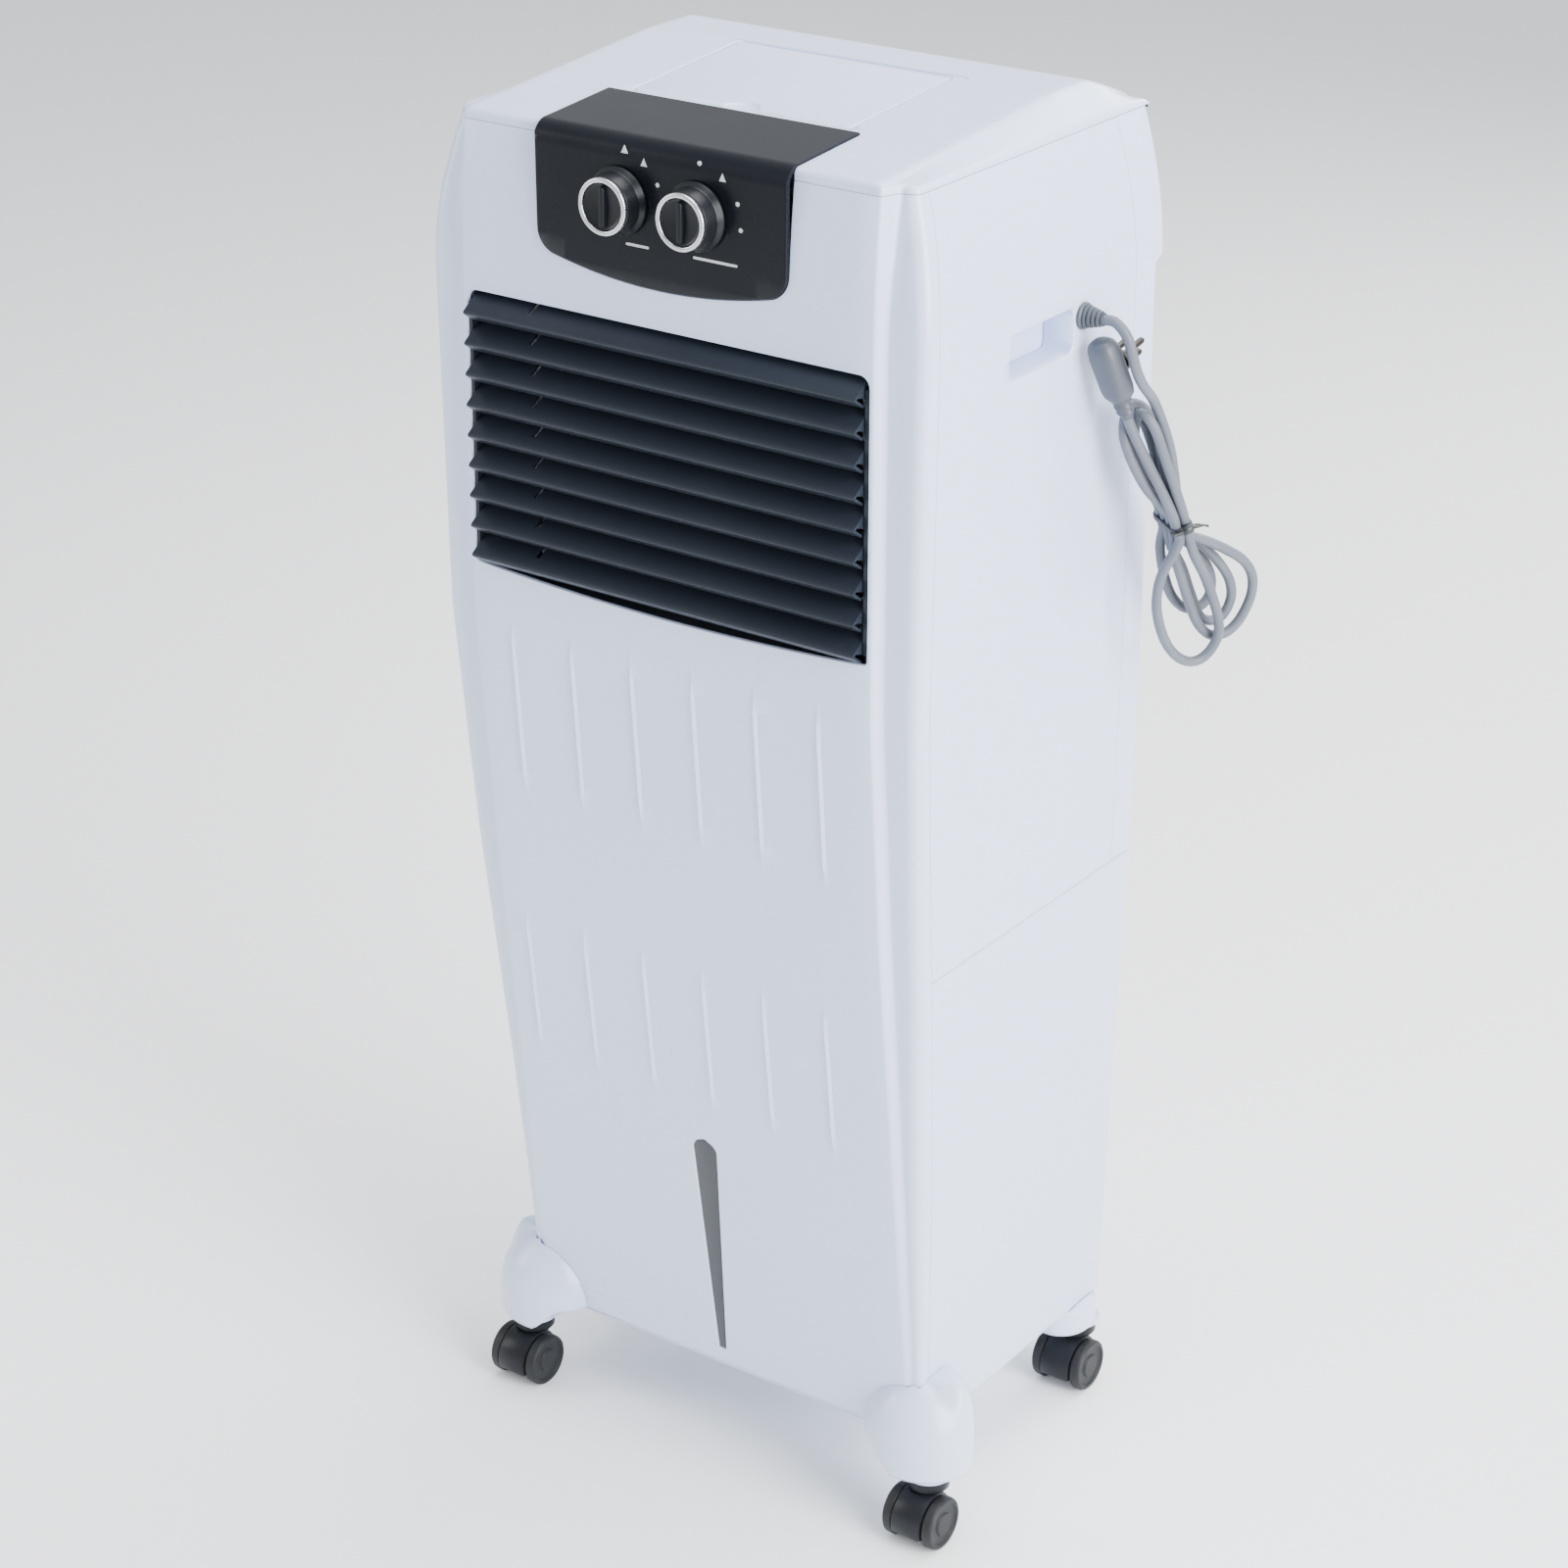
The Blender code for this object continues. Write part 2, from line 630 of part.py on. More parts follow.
def build_top_cover():
    cover = add_object("top_cover", cover_body(0.0, 0.0), WHITE)
    keep_within(cover, cover_plan(0.0))
    hollow = tool_object("cutter_top_cover", cover_body(WALL, 0.01))
    combine(hollow, tool_object("outline_cutter_top_cover", cover_plan(WALL)), "INTERSECT")
    combine(cover, hollow, "DIFFERENCE")
    side, front = LID_HALF_W + PLAY, LID_FRONT_Y - PLAY
    back = HINGE_Y + LID_BARREL_R + PLAY
    bm = box((-side, front, EAVES_Z - 0.02), (side, back, CROWN_Z + 0.02))
    add_prism(bm, fascia_outline(GAP), "Y", EAVES_FRONT_Y - 0.03, FASCIA_BACK_Y + GAP)
    combine(cover, tool_object("openings_top_cover", bm), "DIFFERENCE")


def build_lid():
    """Filling lid: a plate with a rolled hinge edge at the back."""
    hinge_z = crown_z(HINGE_Y) - LID_BARREL_R
    top = [(LID_FRONT_Y, crown_z(LID_FRONT_Y)), (HINGE_Y, crown_z(HINGE_Y))]
    roll = arc((HINGE_Y, hinge_z), LID_BARREL_R, 90, -90, 8)[1:]
    under = [(LID_FRONT_Y, crown_z(LID_FRONT_Y) - LID_T)]
    outline = [top[0], top[1]] + roll + under
    lid = add_object("fill_lid", prism(outline, "X", -LID_HALF_W, LID_HALF_W), WHITE, (0.0, HINGE_Y, hinge_z))
    notch_z = crown_z(LID_FRONT_Y)
    bm = turned(((0.013, -0.01), (0.013, 0.0006)), (0.0, LID_FRONT_Y - 0.003, notch_z - 0.0012), (0, 0, 1), 20)
    bmesh.ops.translate(bm, verts=bm.verts, vec=(0, 0, 0.0106))
    bmesh.ops.translate(bm, verts=bm.verts, vec=-Vector((0.0, HINGE_Y, hinge_z)))
    tool = tool_object("cutter_fill_lid", bm)
    tool.location = (0.0, HINGE_Y, hinge_z)
    combine(lid, tool, "DIFFERENCE")


def build_ice_tray():
    """Open tray under the lid that takes water or ice and drips it on to the distributor."""
    top = crown_z(LID_FRONT_Y) - WALL - 0.003
    side, front, back = LID_HALF_W + 0.006, LID_FRONT_Y + 0.002, HINGE_Y + 0.008
    low = top - ICE_TRAY_DEPTH
    tray = add_object("ice_tray", box((-side, front, low), (side, back, top)), INNER_WHITE)
    cut(tray, box((-side + WALL, front + WALL, low + WALL), (side - WALL, back - WALL, top + 0.01)))


# ---- control group --------------------------------------------------------------------------
def build_fascia():
    """Bent control fascia: front face, soft bend, and a top face running back to the lid."""
    front = FRONT_Y - FASCIA_PROUD
    bend_y = front + FASCIA_BEND_R
    low = FASCIA_LOW_Z - FASCIA_SAG - 0.004
    bend_z = crown_z(bend_y) + FASCIA_PROUD - FASCIA_BEND_R
    back = (FASCIA_BACK_Y, crown_z(FASCIA_BACK_Y) + FASCIA_PROUD)
    line = [back] + [(bend_y + FASCIA_BEND_R * math.cos(math.radians(a)),
                      bend_z + FASCIA_BEND_R * math.sin(math.radians(a))) for a in (90, 112, 135, 158, 180)]
    line += [(front, low)]
    inner = offset_line(line, FASCIA_T)
    outline = line + inner[::-1]
    fascia = add_object("control_fascia", prism(outline, "X", -FASCIA_HALF_W - 0.01, FASCIA_HALF_W + 0.01), BLACK)
    keep_within(fascia, prism(fascia_outline(0.0), "Y", FRONT_Y - 0.03, FASCIA_BACK_Y + 0.03))
    bm = bmesh.new()
    for x in (-KNOB_X, KNOB_X):
        add_turned(bm, ((KNOB_SHAFT_R + RUN, -0.02), (KNOB_SHAFT_R + RUN, 0.02)), (x, FRONT_Y, KNOB_Z), (0, 1, 0), 16)
    cut(fascia, bm)


def build_knob(name, x):
    """Turned knob on its shaft, with a bright ring let into its face."""
    face = FRONT_Y - FASCIA_PROUD - 0.0006
    centre = (x, face, KNOB_Z)
    ring_in = KNOB_R - KNOB_RING_W
    lip = KNOB_H - KNOB_RING_H
    profile = ((KNOB_R + 0.0022, 0.0), (KNOB_R + 0.0018, 0.0030), (KNOB_R, 0.0050), (KNOB_R - 0.0006, lip),
               (ring_in - GAP, lip), (ring_in - GAP, KNOB_H - 0.0008), (ring_in - 0.0012, KNOB_H - 0.0016))
    knob = add_object(name, turned(profile, centre, (0, -1, 0)), BLACK, centre)
    bm = turned(((KNOB_SHAFT_R, 0.0), (KNOB_SHAFT_R, 0.0160)), (x, face - 0.001, KNOB_Z), (0, 1, 0), 16)
    add_box(bm, (x - 0.0007, face - KNOB_H - 0.0004, KNOB_Z + 0.006),
            (x + 0.0007, face - KNOB_H + 0.004, KNOB_Z + ring_in - 0.002))
    bmesh.ops.translate(bm, verts=bm.verts, vec=-Vector(centre))
    tool = tool_object("joined_" + name, bm)
    tool.location = centre
    combine(knob, tool, "UNION")
    outline = ((ring_in, lip + GAP), (KNOB_R - 0.0007, lip + GAP), (KNOB_R - 0.0007, KNOB_H - 0.0008),
               (KNOB_R - 0.0016, KNOB_H), (ring_in + 0.0006, KNOB_H), (ring_in, KNOB_H - 0.0006))
    add_object(name + "_ring", turned_ring(outline, centre, (0, -1, 0)), SILVER, centre)


def build_switches():
    """Two rotary switches behind the fascia, each with a blind hole for its knob's shaft."""
    front = FRONT_Y - FASCIA_PROUD + FASCIA_T + GAP
    sx, sy, sz = SWITCH_SIZE
    body = add_object("rotary_switches", box((-KNOB_X - 0.5 * sx, front + 0.5 * sy, KNOB_Z - 0.010),
                                             (KNOB_X + 0.5 * sx, front + sy, KNOB_Z + 0.010)), GREY)
    bm = bmesh.new()
    for x in (-KNOB_X, KNOB_X):
        add_box(bm, (x - 0.5 * sx - 0.0005, front, KNOB_Z - 0.5 * sz),
                (x + 0.5 * sx - 0.0005, front + 0.8 * sy, KNOB_Z + 0.5 * sz))
    fuse(body, bm)
    bm = bmesh.new()
    for x in (-KNOB_X, KNOB_X):
        add_turned(bm, ((KNOB_SHAFT_R + RUN, -0.01), (KNOB_SHAFT_R + RUN, 0.0155)), (x, front, KNOB_Z), (0, 1, 0), 16)
    cut(body, bm)


# ---- louvres --------------------------------------------------------------------------------
def louvre_z(index):
    pitch = (OUTLET_TOP_Z - OUTLET_LOW_Z) / LOUVRES
    return OUTLET_TOP_Z - pitch * (index + 0.5)


def build_outlet_frame():
    """Frame behind the front panel that carries the louvre pins."""
    cheek = OUTLET_HALF_W - CHEEK_T
    front = FRONT_Y + WALL + GAP
    low, high = OUTLET_LOW_Z - OUTLET_SAG, OUTLET_TOP_Z
    frame = add_object("outlet_frame", box((-OUTLET_HALF_W - FRAME_LIP, front, low - 0.003),
                                           (OUTLET_HALF_W + FRAME_LIP, FRAME_BACK_Y, high + 0.003)), SLATE)
    cut(frame, box((-cheek, front - 0.01, low), (cheek, FRAME_BACK_Y + 0.01, high)))
    bm = bmesh.new()
    for side in (-1, 1):
        x0, x1 = sorted((side * cheek, side * (OUTLET_HALF_W - GAP)))
        add_box(bm, (x0, FRONT_Y + 0.0003, OUTLET_LOW_Z + 0.006), (x1, front + 0.002, OUTLET_TOP_Z - OUTLET_CORNER_R - 0.001))
    fuse(frame, bm)
    bm = bmesh.new()
    reach = OUTLET_HALF_W + 0.01
    for index in range(LOUVRES):
        add_turned(bm, ((PIN_R + RUN, -reach), (PIN_R + RUN, reach)), (0.0, LOUVRE_PIVOT_Y, louvre_z(index)), (1, 0, 0), 8)
    holes = tool_object("pin_holes_outlet_frame", bm)
    combine(frame, holes, "DIFFERENCE")


def louvre_outline():
    """Blade section about its pivot: rising back plate, nose, and lower lip."""
    lip = (-0.0045, -0.0088)
    line = [(0.0035, LOUVRE_RISE), (-0.0075, 0.0020), (-LOUVRE_NOSE, -0.0022), lip]
    return line + offset_line(line, LOUVRE_T)[::-1]


def build_louvre(index):
    z = louvre_z(index)
    centre = (0.0, LOUVRE_PIVOT_Y, z)
    blade_half = OUTLET_HALF_W - CHEEK_T - PLAY
    outline = [(y + LOUVRE_PIVOT_Y, dz + z) for y, dz in louvre_outline()]
    item = add_object("louvre_%d" % (index + 1), prism(outline, "X", -blade_half, blade_half), SLATE, centre)
    pin_reach = OUTLET_HALF_W - 0.0004
    arm_x = CRANK_X + 0.0030
    bm = bmesh.new()
    for side in (-1, 1):
        x0, x1 = sorted((side * (blade_half - 0.004), side * blade_half))
        add_prism(bm, [(-0.0105, -0.0010), (-0.0015, -0.0040), (0.0022, -0.0018), (0.0022, 0.0022),
                       (-0.0010, 0.0048), (-0.0030, 0.0042)], "X", x0, x1)
    add_prism(bm, [(-0.0100, -0.0016), (0.0, -0.0020), (CRANK_R + 0.0022, -0.0022), (CRANK_R + 0.0022, 0.0022),
                   (0.0, 0.0038), (-0.0050, 0.0030)], "X", arm_x, arm_x + 0.0022)
    tool = tool_object("joined_" + item.name, bm)
    tool.location = centre
    combine(item, tool, "UNION")
    bm = bmesh.new()
    for side in (-1, 1):
        add_turned(bm, ((PIN_R, blade_half - 0.003), (PIN_R, pin_reach)), (0, 0, 0), (side, 0, 0), 8)
    add_turned(bm, ((PIN_R, 0.0), (PIN_R, 0.0062)), (arm_x + 0.001, CRANK_R, 0.0), (-1, 0, 0), 8)
    pins = tool_object("pins_" + item.name, bm)
    pins.location = centre
    combine(item, pins, "UNION")
    bm = box((CRANK_X - PLAY, NOTCH_FRONT, 0.0), (CRANK_X + LINK_T + 0.5 * PLAY, CRANK_R, 2 * LOUVRE_RISE))
    notch = tool_object("notch_" + item.name, bm)
    notch.location = centre
    combine(item, notch, "DIFFERENCE")


def build_louvre_link():
    """Upright link that joins the louvres' cranks, so that they turn together."""
    middle = louvre_z(LOUVRES // 2)
    centre = (CRANK_X, LOUVRE_PIVOT_Y + CRANK_R, middle)
    low, high = louvre_z(LOUVRES - 1) - 0.0040, louvre_z(0) + 0.0040
    y = LOUVRE_PIVOT_Y + CRANK_R
    bm = box((CRANK_X, y - LINK_HALF_DEPTH, low), (CRANK_X + LINK_T, y + LINK_HALF_DEPTH, high))
    link = add_object("louvre_link", bm, SLATE, centre)
    bm = bmesh.new()
    for index in range(LOUVRES):
        add_turned(bm, ((PIN_R + RUN, -0.005), (PIN_R + RUN, 0.005)),
                   (0.001, 0.0, louvre_z(index) - middle), (1, 0, 0), 8)
    tool = tool_object("cutter_louvre_link", bm)
    tool.location = centre
    combine(link, tool, "DIFFERENCE")


# ---- duct and vanes -------------------------------------------------------------------------
def duct_section():
    front = FRAME_BACK_Y + GAP
    top = OUTLET_TOP_Z + 0.0025
    rise = top - DUCT_FLOOR_Z
    return [(front, DUCT_FLOOR_Z), (DUCT_BACK_Y, DUCT_FLOOR_Z), (DUCT_BACK_Y, DUCT_FLOOR_Z + 0.20 * rise),
            (DUCT_BACK_Y - 0.016, DUCT_FLOOR_Z + 0.50 * rise), (DUCT_BACK_Y - 0.050, DUCT_FLOOR_Z + 0.76 * rise),
            (DUCT_BACK_Y - 0.090, DUCT_FLOOR_Z + 0.93 * rise), (-0.0720, top), (front, top)]


def vane_x(index):
    return VANE_PITCH * (index - 0.5 * (VANES - 1))


def scroll_outlet():
    tongue = math.radians(TONGUE_DEG)
    return BLOWER_X + SCROLL_R0 * math.cos(tongue), BLOWER_X + SCROLL_R1


def build_duct():
    """Air duct from the blower's mouth to the louvres."""
    section = duct_section()
    half = OUTLET_HALF_W + 0.001
    duct = add_object("air_duct", prism(section, "X", -half, half), INNER_WHITE)
    inner = offset_line(section, WALL)
    inner[0] = (section[0][0] - 0.01, section[0][1] + WALL)
    inner[-1] = (section[-1][0] - 0.01, section[-1][1] - WALL)
    bm = prism(inner, "X", -half + WALL, half - WALL)
    cut(duct, bm)
    left, right = scroll_outlet()
    bm = box((left + WALL, BLOWER_FRONT_Y + WALL, DUCT_FLOOR_Z - 0.01),
             (right - WALL, BLOWER_BACK_Y - WALL, DUCT_FLOOR_Z + WALL + 0.001))
    top = section[-1][1]
    for index in range(VANES):
        for low in (DUCT_FLOOR_Z + 0.0002, top - WALL - 0.001):
            if left < vane_x(index) < right and low < DUCT_FLOOR_Z + 0.001 and VANE_PIVOT_Y > BLOWER_FRONT_Y:
                continue
            add_turned(bm, ((PIN_R + RUN, 0.0), (PIN_R + RUN, 0.0060)),
                       (vane_x(index), VANE_PIVOT_Y, low - 0.001), (0, 0, 1), 8)
    holes = tool_object("mouth_air_duct", bm)
    combine(duct, holes, "DIFFERENCE")


def build_vane(index):
    x = vane_x(index)
    low, high = DUCT_FLOOR_Z + WALL + 0.0062, OUTLET_TOP_Z - PLAY
    centre = (x, VANE_PIVOT_Y, low)
    half_t, half_c = 0.5 * VANE_T, 0.5 * VANE_CHORD
    outline = [(-half_t, -half_c + 0.001), (0.0, -half_c), (half_t, -half_c + 0.001), (half_t, half_c), (-half_t, half_c)]
    outline = [(x + px, VANE_PIVOT_Y + py) for px, py in outline]
    vane = add_object("vane_%d" % (index + 1), prism(outline, "Z", low, high), SLATE, centre)
    top = OUTLET_TOP_Z + 0.0025
    bm = turned(((0.0026, -0.0044), (0.0026, 0.002)), (0, 0, 0), (0, 0, 1), 8)
    combine(vane, place_tool(bm, "collar_" + vane.name, centre), "UNION")
    bm = turned(((PIN_R, DUCT_FLOOR_Z + 0.0008 - low), (PIN_R, 0.001)), (0, 0, 0), (0, 0, 1), 8)
    add_turned(bm, ((PIN_R, high - low - 0.003), (PIN_R, top - low - 0.0008)), (0, 0, 0), (0, 0, 1), 8)
    add_turned(bm, ((PIN_R, -0.0046), (PIN_R, 0.0015)), (0, half_c - 0.0018, 0), (0, 0, 1), 8)
    combine(vane, place_tool(bm, "pins_" + vane.name, centre), "UNION")


def place_tool(bm, name, centre):
    tool = tool_object(name, bm)
    tool.location = centre
    return tool


def build_vane_link():
    """Flat link under the vanes that makes them swing together."""
    low = DUCT_FLOOR_Z + WALL + 0.0022
    y = VANE_PIVOT_Y + 0.5 * VANE_CHORD - 0.0018
    centre = (0.0, y, low)
    reach = vane_x(VANES - 1) + 0.0045
    link = add_object("vane_link", box((-reach, y - 0.0034, low), (reach, y + 0.0034, low + 0.0026)), SLATE, centre)
    bm = bmesh.new()
    for index in range(VANES):
        add_turned(bm, ((PIN_R + RUN, -0.005), (PIN_R + RUN, 0.008)), (vane_x(index), 0.0, 0.0), (0, 0, 1), 8)
    combine(link, place_tool(bm, "cutter_vane_link", centre), "DIFFERENCE")


def build_swing_motor():
    """Synchronous motor under the duct floor that swings the vanes."""
    top = DUCT_FLOOR_Z - GAP
    x = BLOWER_X + SCROLL_R1 + 0.0200
    profile = ((0.0160, -0.0150), (0.0160, 0.0))
    add_object("swing_motor", turned(profile, (x, VANE_PIVOT_Y + 0.012, top), (0, 0, 1), 20), STEEL)


# ---- blower ---------------------------------------------------------------------------------
def scroll_outline(inset):
    """Blower scroll in X-Z: a growing spiral with a straight mouth at the top."""
    left, right = scroll_outlet()
    top = DUCT_FLOOR_Z - GAP + (0.01 if inset else 0.0)
    points = [(right - inset, top)]
    steps = 20
    for step in range(steps + 1):
        share = step / steps
        angle = math.radians(360.0 + (TONGUE_DEG - 360.0) * share)
        radius = SCROLL_R1 + (SCROLL_R0 - SCROLL_R1) * share - inset
        points.append((BLOWER_X + radius * math.cos(angle), BLOWER_Z + radius * math.sin(angle)))
    tongue = points.pop()
    points.append((left - 0.002 + inset, tongue[1] - 0.4 * inset))
    points.append((left + inset, top))
    return points


def build_blower():
    housing = add_object("blower_housing", prism(scroll_outline(0.0), "Y", BLOWER_FRONT_Y, BLOWER_BACK_Y), INNER_WHITE)
    cut(housing, prism(scroll_outline(WALL), "Y", BLOWER_FRONT_Y + WALL, BLOWER_BACK_Y - WALL))
    bm = turned(((INLET_R, 0.0), (INLET_R, 0.02)), (BLOWER_X, BLOWER_BACK_Y - 0.01, BLOWER_Z), (0, 1, 0))
    add_turned(bm, ((0.010, 0.0), (0.010, 0.02)), (BLOWER_X, BLOWER_FRONT_Y - 0.01, BLOWER_Z), (0, 1, 0), 16)
    combine(housing, tool_object("inlet_blower_housing", bm), "DIFFERENCE")


def build_wheel():
    """Squirrel-cage wheel: a drum slotted into blades, closed at the motor end by a hub plate."""
    centre = (BLOWER_X, BLOWER_FRONT_Y + 0.5 * (BLOWER_BACK_Y - BLOWER_FRONT_Y), BLOWER_Z)
    front = BLOWER_FRONT_Y + WALL + 0.006 - centre[1]
    back = BLOWER_BACK_Y - WALL - 0.006 - centre[1]
    inner = WHEEL_R - WHEEL_RIM
    outline = ((SHAFT_R + 0.001, front), (WHEEL_R, front), (WHEEL_R, back), (inner, back), (inner, front + 0.003),
               (0.014, front + 0.003), (0.012, front + 0.022), (SHAFT_R + 0.001, front + 0.022))
    wheel = add_object("blower_wheel", turned_ring(outline, (0, 0, 0), (0, 1, 0), 32), GREY, (0, 0, 0))
    wheel.location = centre
    bm = bmesh.new()
    for blade in range(BLADES):
        slot = bmesh.new()
        add_box(slot, (inner - 0.004, front + 0.006, -0.0060), (WHEEL_R + 0.004, back - 0.005, 0.0060))
        turn = Matrix.Rotation(math.tau * (blade + 0.5) / BLADES, 4, "Y")
        bmesh.ops.transform(slot, matrix=turn, verts=slot.verts)
        scratch = bpy.data.meshes.new("slot")
        slot.to_mesh(scratch)
        slot.free()
        bm.from_mesh(scratch)
    combine(wheel, place_tool(bm, "slots_blower_wheel", centre), "DIFFERENCE")
    motor_back = BLOWER_FRONT_Y - GAP - centre[1]
    shaft = turned(((SHAFT_R, motor_back - 0.020), (SHAFT_R, front - 0.001), (SHAFT_R + 0.0020, front - 0.0005),
                    (SHAFT_R + 0.0020, front + 0.018)), (0, 0, 0), (0, 1, 0), 16)
    combine(wheel, place_tool(shaft, "shaft_blower_wheel", centre), "UNION")


def build_motor():
    back = BLOWER_FRONT_Y - GAP
    profile = ((MOTOR_R - 0.008, -MOTOR_L), (MOTOR_R, -MOTOR_L + 0.006), (MOTOR_R, -0.004), (MOTOR_R - 0.006, 0.0))
    motor = add_object("fan_motor", turned(profile, (BLOWER_X, back, BLOWER_Z), (0, 1, 0)), STEEL)
    cut(motor, turned(((SHAFT_R + 0.0006, -0.022), (SHAFT_R + 0.0006, 0.01)), (BLOWER_X, back, BLOWER_Z), (0, 1, 0), 16))


# ---- pad cassette ---------------------------------------------------------------------------
def build_pad():
    """Rear grille with its wet pad; the two pull off backwards together."""
    side, low, high = PAD_HALF_W - PLAY, PAD_LOW_Z + PLAY, PAD_TOP_Z - PLAY

    def sheet(y_out, thickness, margin):
        zs = (low + margin, high - margin)
        outer = [[(x, rear_y(z) + y_out, z) for x in (-side + margin, side - margin)] for z in zs]
        inner = [[(x, rear_y(z) + y_out - thickness, z) for x in (-side + margin, side - margin)] for z in zs]
        return thick_sheet(outer, inner)

    grille = add_object("pad_grille", sheet(0.0, GRILLE_T, 0.0), WHITE)
    border, bar = 0.012, 0.0060
    pitch_x = (2 * side - 2 * border + bar) / SLAT_COLUMNS
    pitch_z = (high - low - 2 * border + bar) / SLAT_ROWS
    bm = bmesh.new()
    for column in range(SLAT_COLUMNS):
        for row in range(SLAT_ROWS):
            x0 = -side + border + pitch_x * column
            z0 = low + border + pitch_z * row
            add_box(bm, (x0, 0.09, z0), (x0 + pitch_x - bar, 0.18, z0 + pitch_z - bar))
    cut(grille, bm)
    add_object("cooling_pad", sheet(-GRILLE_T - GAP, PAD_T, 0.002), PAPER)


# ---- water side -----------------------------------------------------------------------------
def tank_ring(z, inset):
    """Tank's plan at a height: full width at the sides, narrower behind the front panel."""
    w = half_width(z) - inset
    slim = half_width(z) - WALL - GAP - inset
    front = front_y(z) + TANK_FRONT_SPACE + inset
    step = max(panel_end_y(z) + GAP, front - inset + 0.002) + inset
    back = rear_y(z) - inset
    return [(-slim, front, z), (slim, front, z), (slim, step, z), (w, step, z), (w, back - 0.008, z),
            (w - 0.008, back, z), (-w + 0.008, back, z), (-w, back - 0.008, z), (-w, step, z), (-slim, step, z)]


def build_tank():
    low, high = BASE_Z, SEAM_Z
    bm = bmesh.new()
    add_rings(bm, [tank_ring(z, 0.0) for z in (low, high)])
    tank = add_object("water_tank", bm, WHITE)
    bm = bmesh.new()
    floor = low + TANK_WALL
    slope = (high + 0.01)
    add_rings(bm, [tank_ring(z, TANK_WALL) for z in (floor, slope)])
    cut(tank, bm)
    bm = turned(((DRAIN_R + RUN, -0.02), (DRAIN_R + RUN, 0.02)), (DRAIN_X, rear_y(DRAIN_Z), DRAIN_Z), (0, 1, 0), 20)
    combine(tank, tool_object("drain_water_tank", bm), "DIFFERENCE")


def build_pump():
    floor = BASE_Z + TANK_WALL + GAP
    sx, sy, sz = PUMP_SIZE
    pump = add_object("pump", box((PUMP_X - 0.5 * sx, PUMP_Y - 0.5 * sy, floor),
                                  (PUMP_X + 0.5 * sx, PUMP_Y + 0.5 * sy, floor + sz)), SLATE)
    fuse(pump, turned(((0.0060, -0.004), (0.0060, 0.012)), (PUMP_X, PUMP_Y, floor + sz), (0, 0, 1), 16))


def smooth_route(points, spacing):
    """Points at about equal steps along a smooth curve through the given points."""
    nodes = [Vector(p) for p in points]
    nodes = [2 * nodes[0] - nodes[1]] + nodes + [2 * nodes[-1] - nodes[-2]]
    fine = []
    for a, b, c, d in zip(nodes, nodes[1:], nodes[2:], nodes[3:]):
        for step in range(24):
            t = step / 24
            fine.append(0.5 * (2 * b + (c - a) * t + (2 * a - 5 * b + 4 * c - d) * t * t
                               + (3 * b - a - 3 * c + d) * t ** 3))
    fine.append(nodes[-2])
    length = sum((q - p).length for p, q in zip(fine, fine[1:]))
    count = max(2, round(length / spacing))
    picked, travelled, target = [fine[0]], 0.0, length / count
    for p, q in zip(fine, fine[1:]):
        travelled += (q - p).length
        if travelled >= target - 1e-7 and len(picked) < count:
            picked.append(q)
            target += length / count
    return picked + [fine[-1]]


def tube_object(name, points, radius, look, spacing, resolution=2):
    curve = bpy.data.curves.new(name, "CURVE")
    curve.dimensions = "3D"
    curve.bevel_depth = radius
    curve.bevel_resolution = resolution
    curve.use_fill_caps = True
    spline = curve.splines.new("POLY")
    route = smooth_route(points, spacing)
    spline.points.add(len(route) - 1)
    for point, place in zip(spline.points, route):
        point.co = (*place, 1.0)
    item = bpy.data.objects.new(name, curve)
    bpy.context.scene.collection.objects.link(item)
    material = bpy.data.materials.new(name)
    material.use_nodes = True
    shader = material.node_tree.nodes["Principled BSDF"]
    shader.inputs["Base Color"].default_value = (*look["colour"], 1.0)
    shader.inputs["Roughness"].default_value = look["roughness"]
    curve.materials.append(material)
    return item


def distributor_box():
    low = PAD_TOP_Z + 0.004
    back = rear_y(low) - GRILLE_T - 0.006
    return (HOSE_X - HOSE_R - 0.004, back - PAD_T + 0.002, low), (PAD_HALF_W - 0.004, back, low + 0.018)


def build_hose_and_distributor():
    """Riser hose from the pump, and the dripping trough above the pad that it fills."""
    low, high = distributor_box()
    trough = add_object("water_distributor", box(low, high), INNER_WHITE)
    cut(trough, box((low[0] + 0.002, low[1] + 0.002, low[2] + 0.002), (high[0] - 0.002, high[1] - 0.002, high[2] + 0.01)))
    start = BASE_Z + TANK_WALL + GAP + PUMP_SIZE[2] + 0.012 + GAP
    y = 0.5 * (low[1] + high[1])
    route = ((PUMP_X, PUMP_Y, start), (PUMP_X, PUMP_Y, start + 0.025), (HOSE_X + 0.024, PUMP_Y + 0.014, 0.21),
             (HOSE_X, y, 0.30), (HOSE_X, y, 0.48), (HOSE_X, y, 0.66), (HOSE_X, y, low[2] - GAP))
    tube_object("pump_hose", route, HOSE_R, GREY, 0.028)


def build_level_window():
    levels = window_levels()
    outer, inner = [], []
    for z in levels:
        half = window_half(z)
        y = front_y(z) + 0.0006
        outer.append([(-half, y, z), (half, y, z)])
        inner.append([(-half, y + WINDOW_T, z), (half, y + WINDOW_T, z)])
    add_object("level_window", thick_sheet(outer, inner), SMOKE)


def float_axis():
    run = Vector((0.0, CREASE_Y - BASE_FRONT_Y, CREASE_Z - BASE_Z))
    return run.normalized()


def build_float():
    """Red float that slides up behind the level window."""
    z = WINDOW_LOW_Z + 0.008
    centre = (0.0, front_y(z) + 0.0100, z)
    along = float_axis()
    profile = ((0.0045, -0.006), (0.0058, -0.004), (0.0058, 0.004), (0.0045, 0.006))
    add_object("level_float", turned(profile, centre, along, 16), RED, centre)


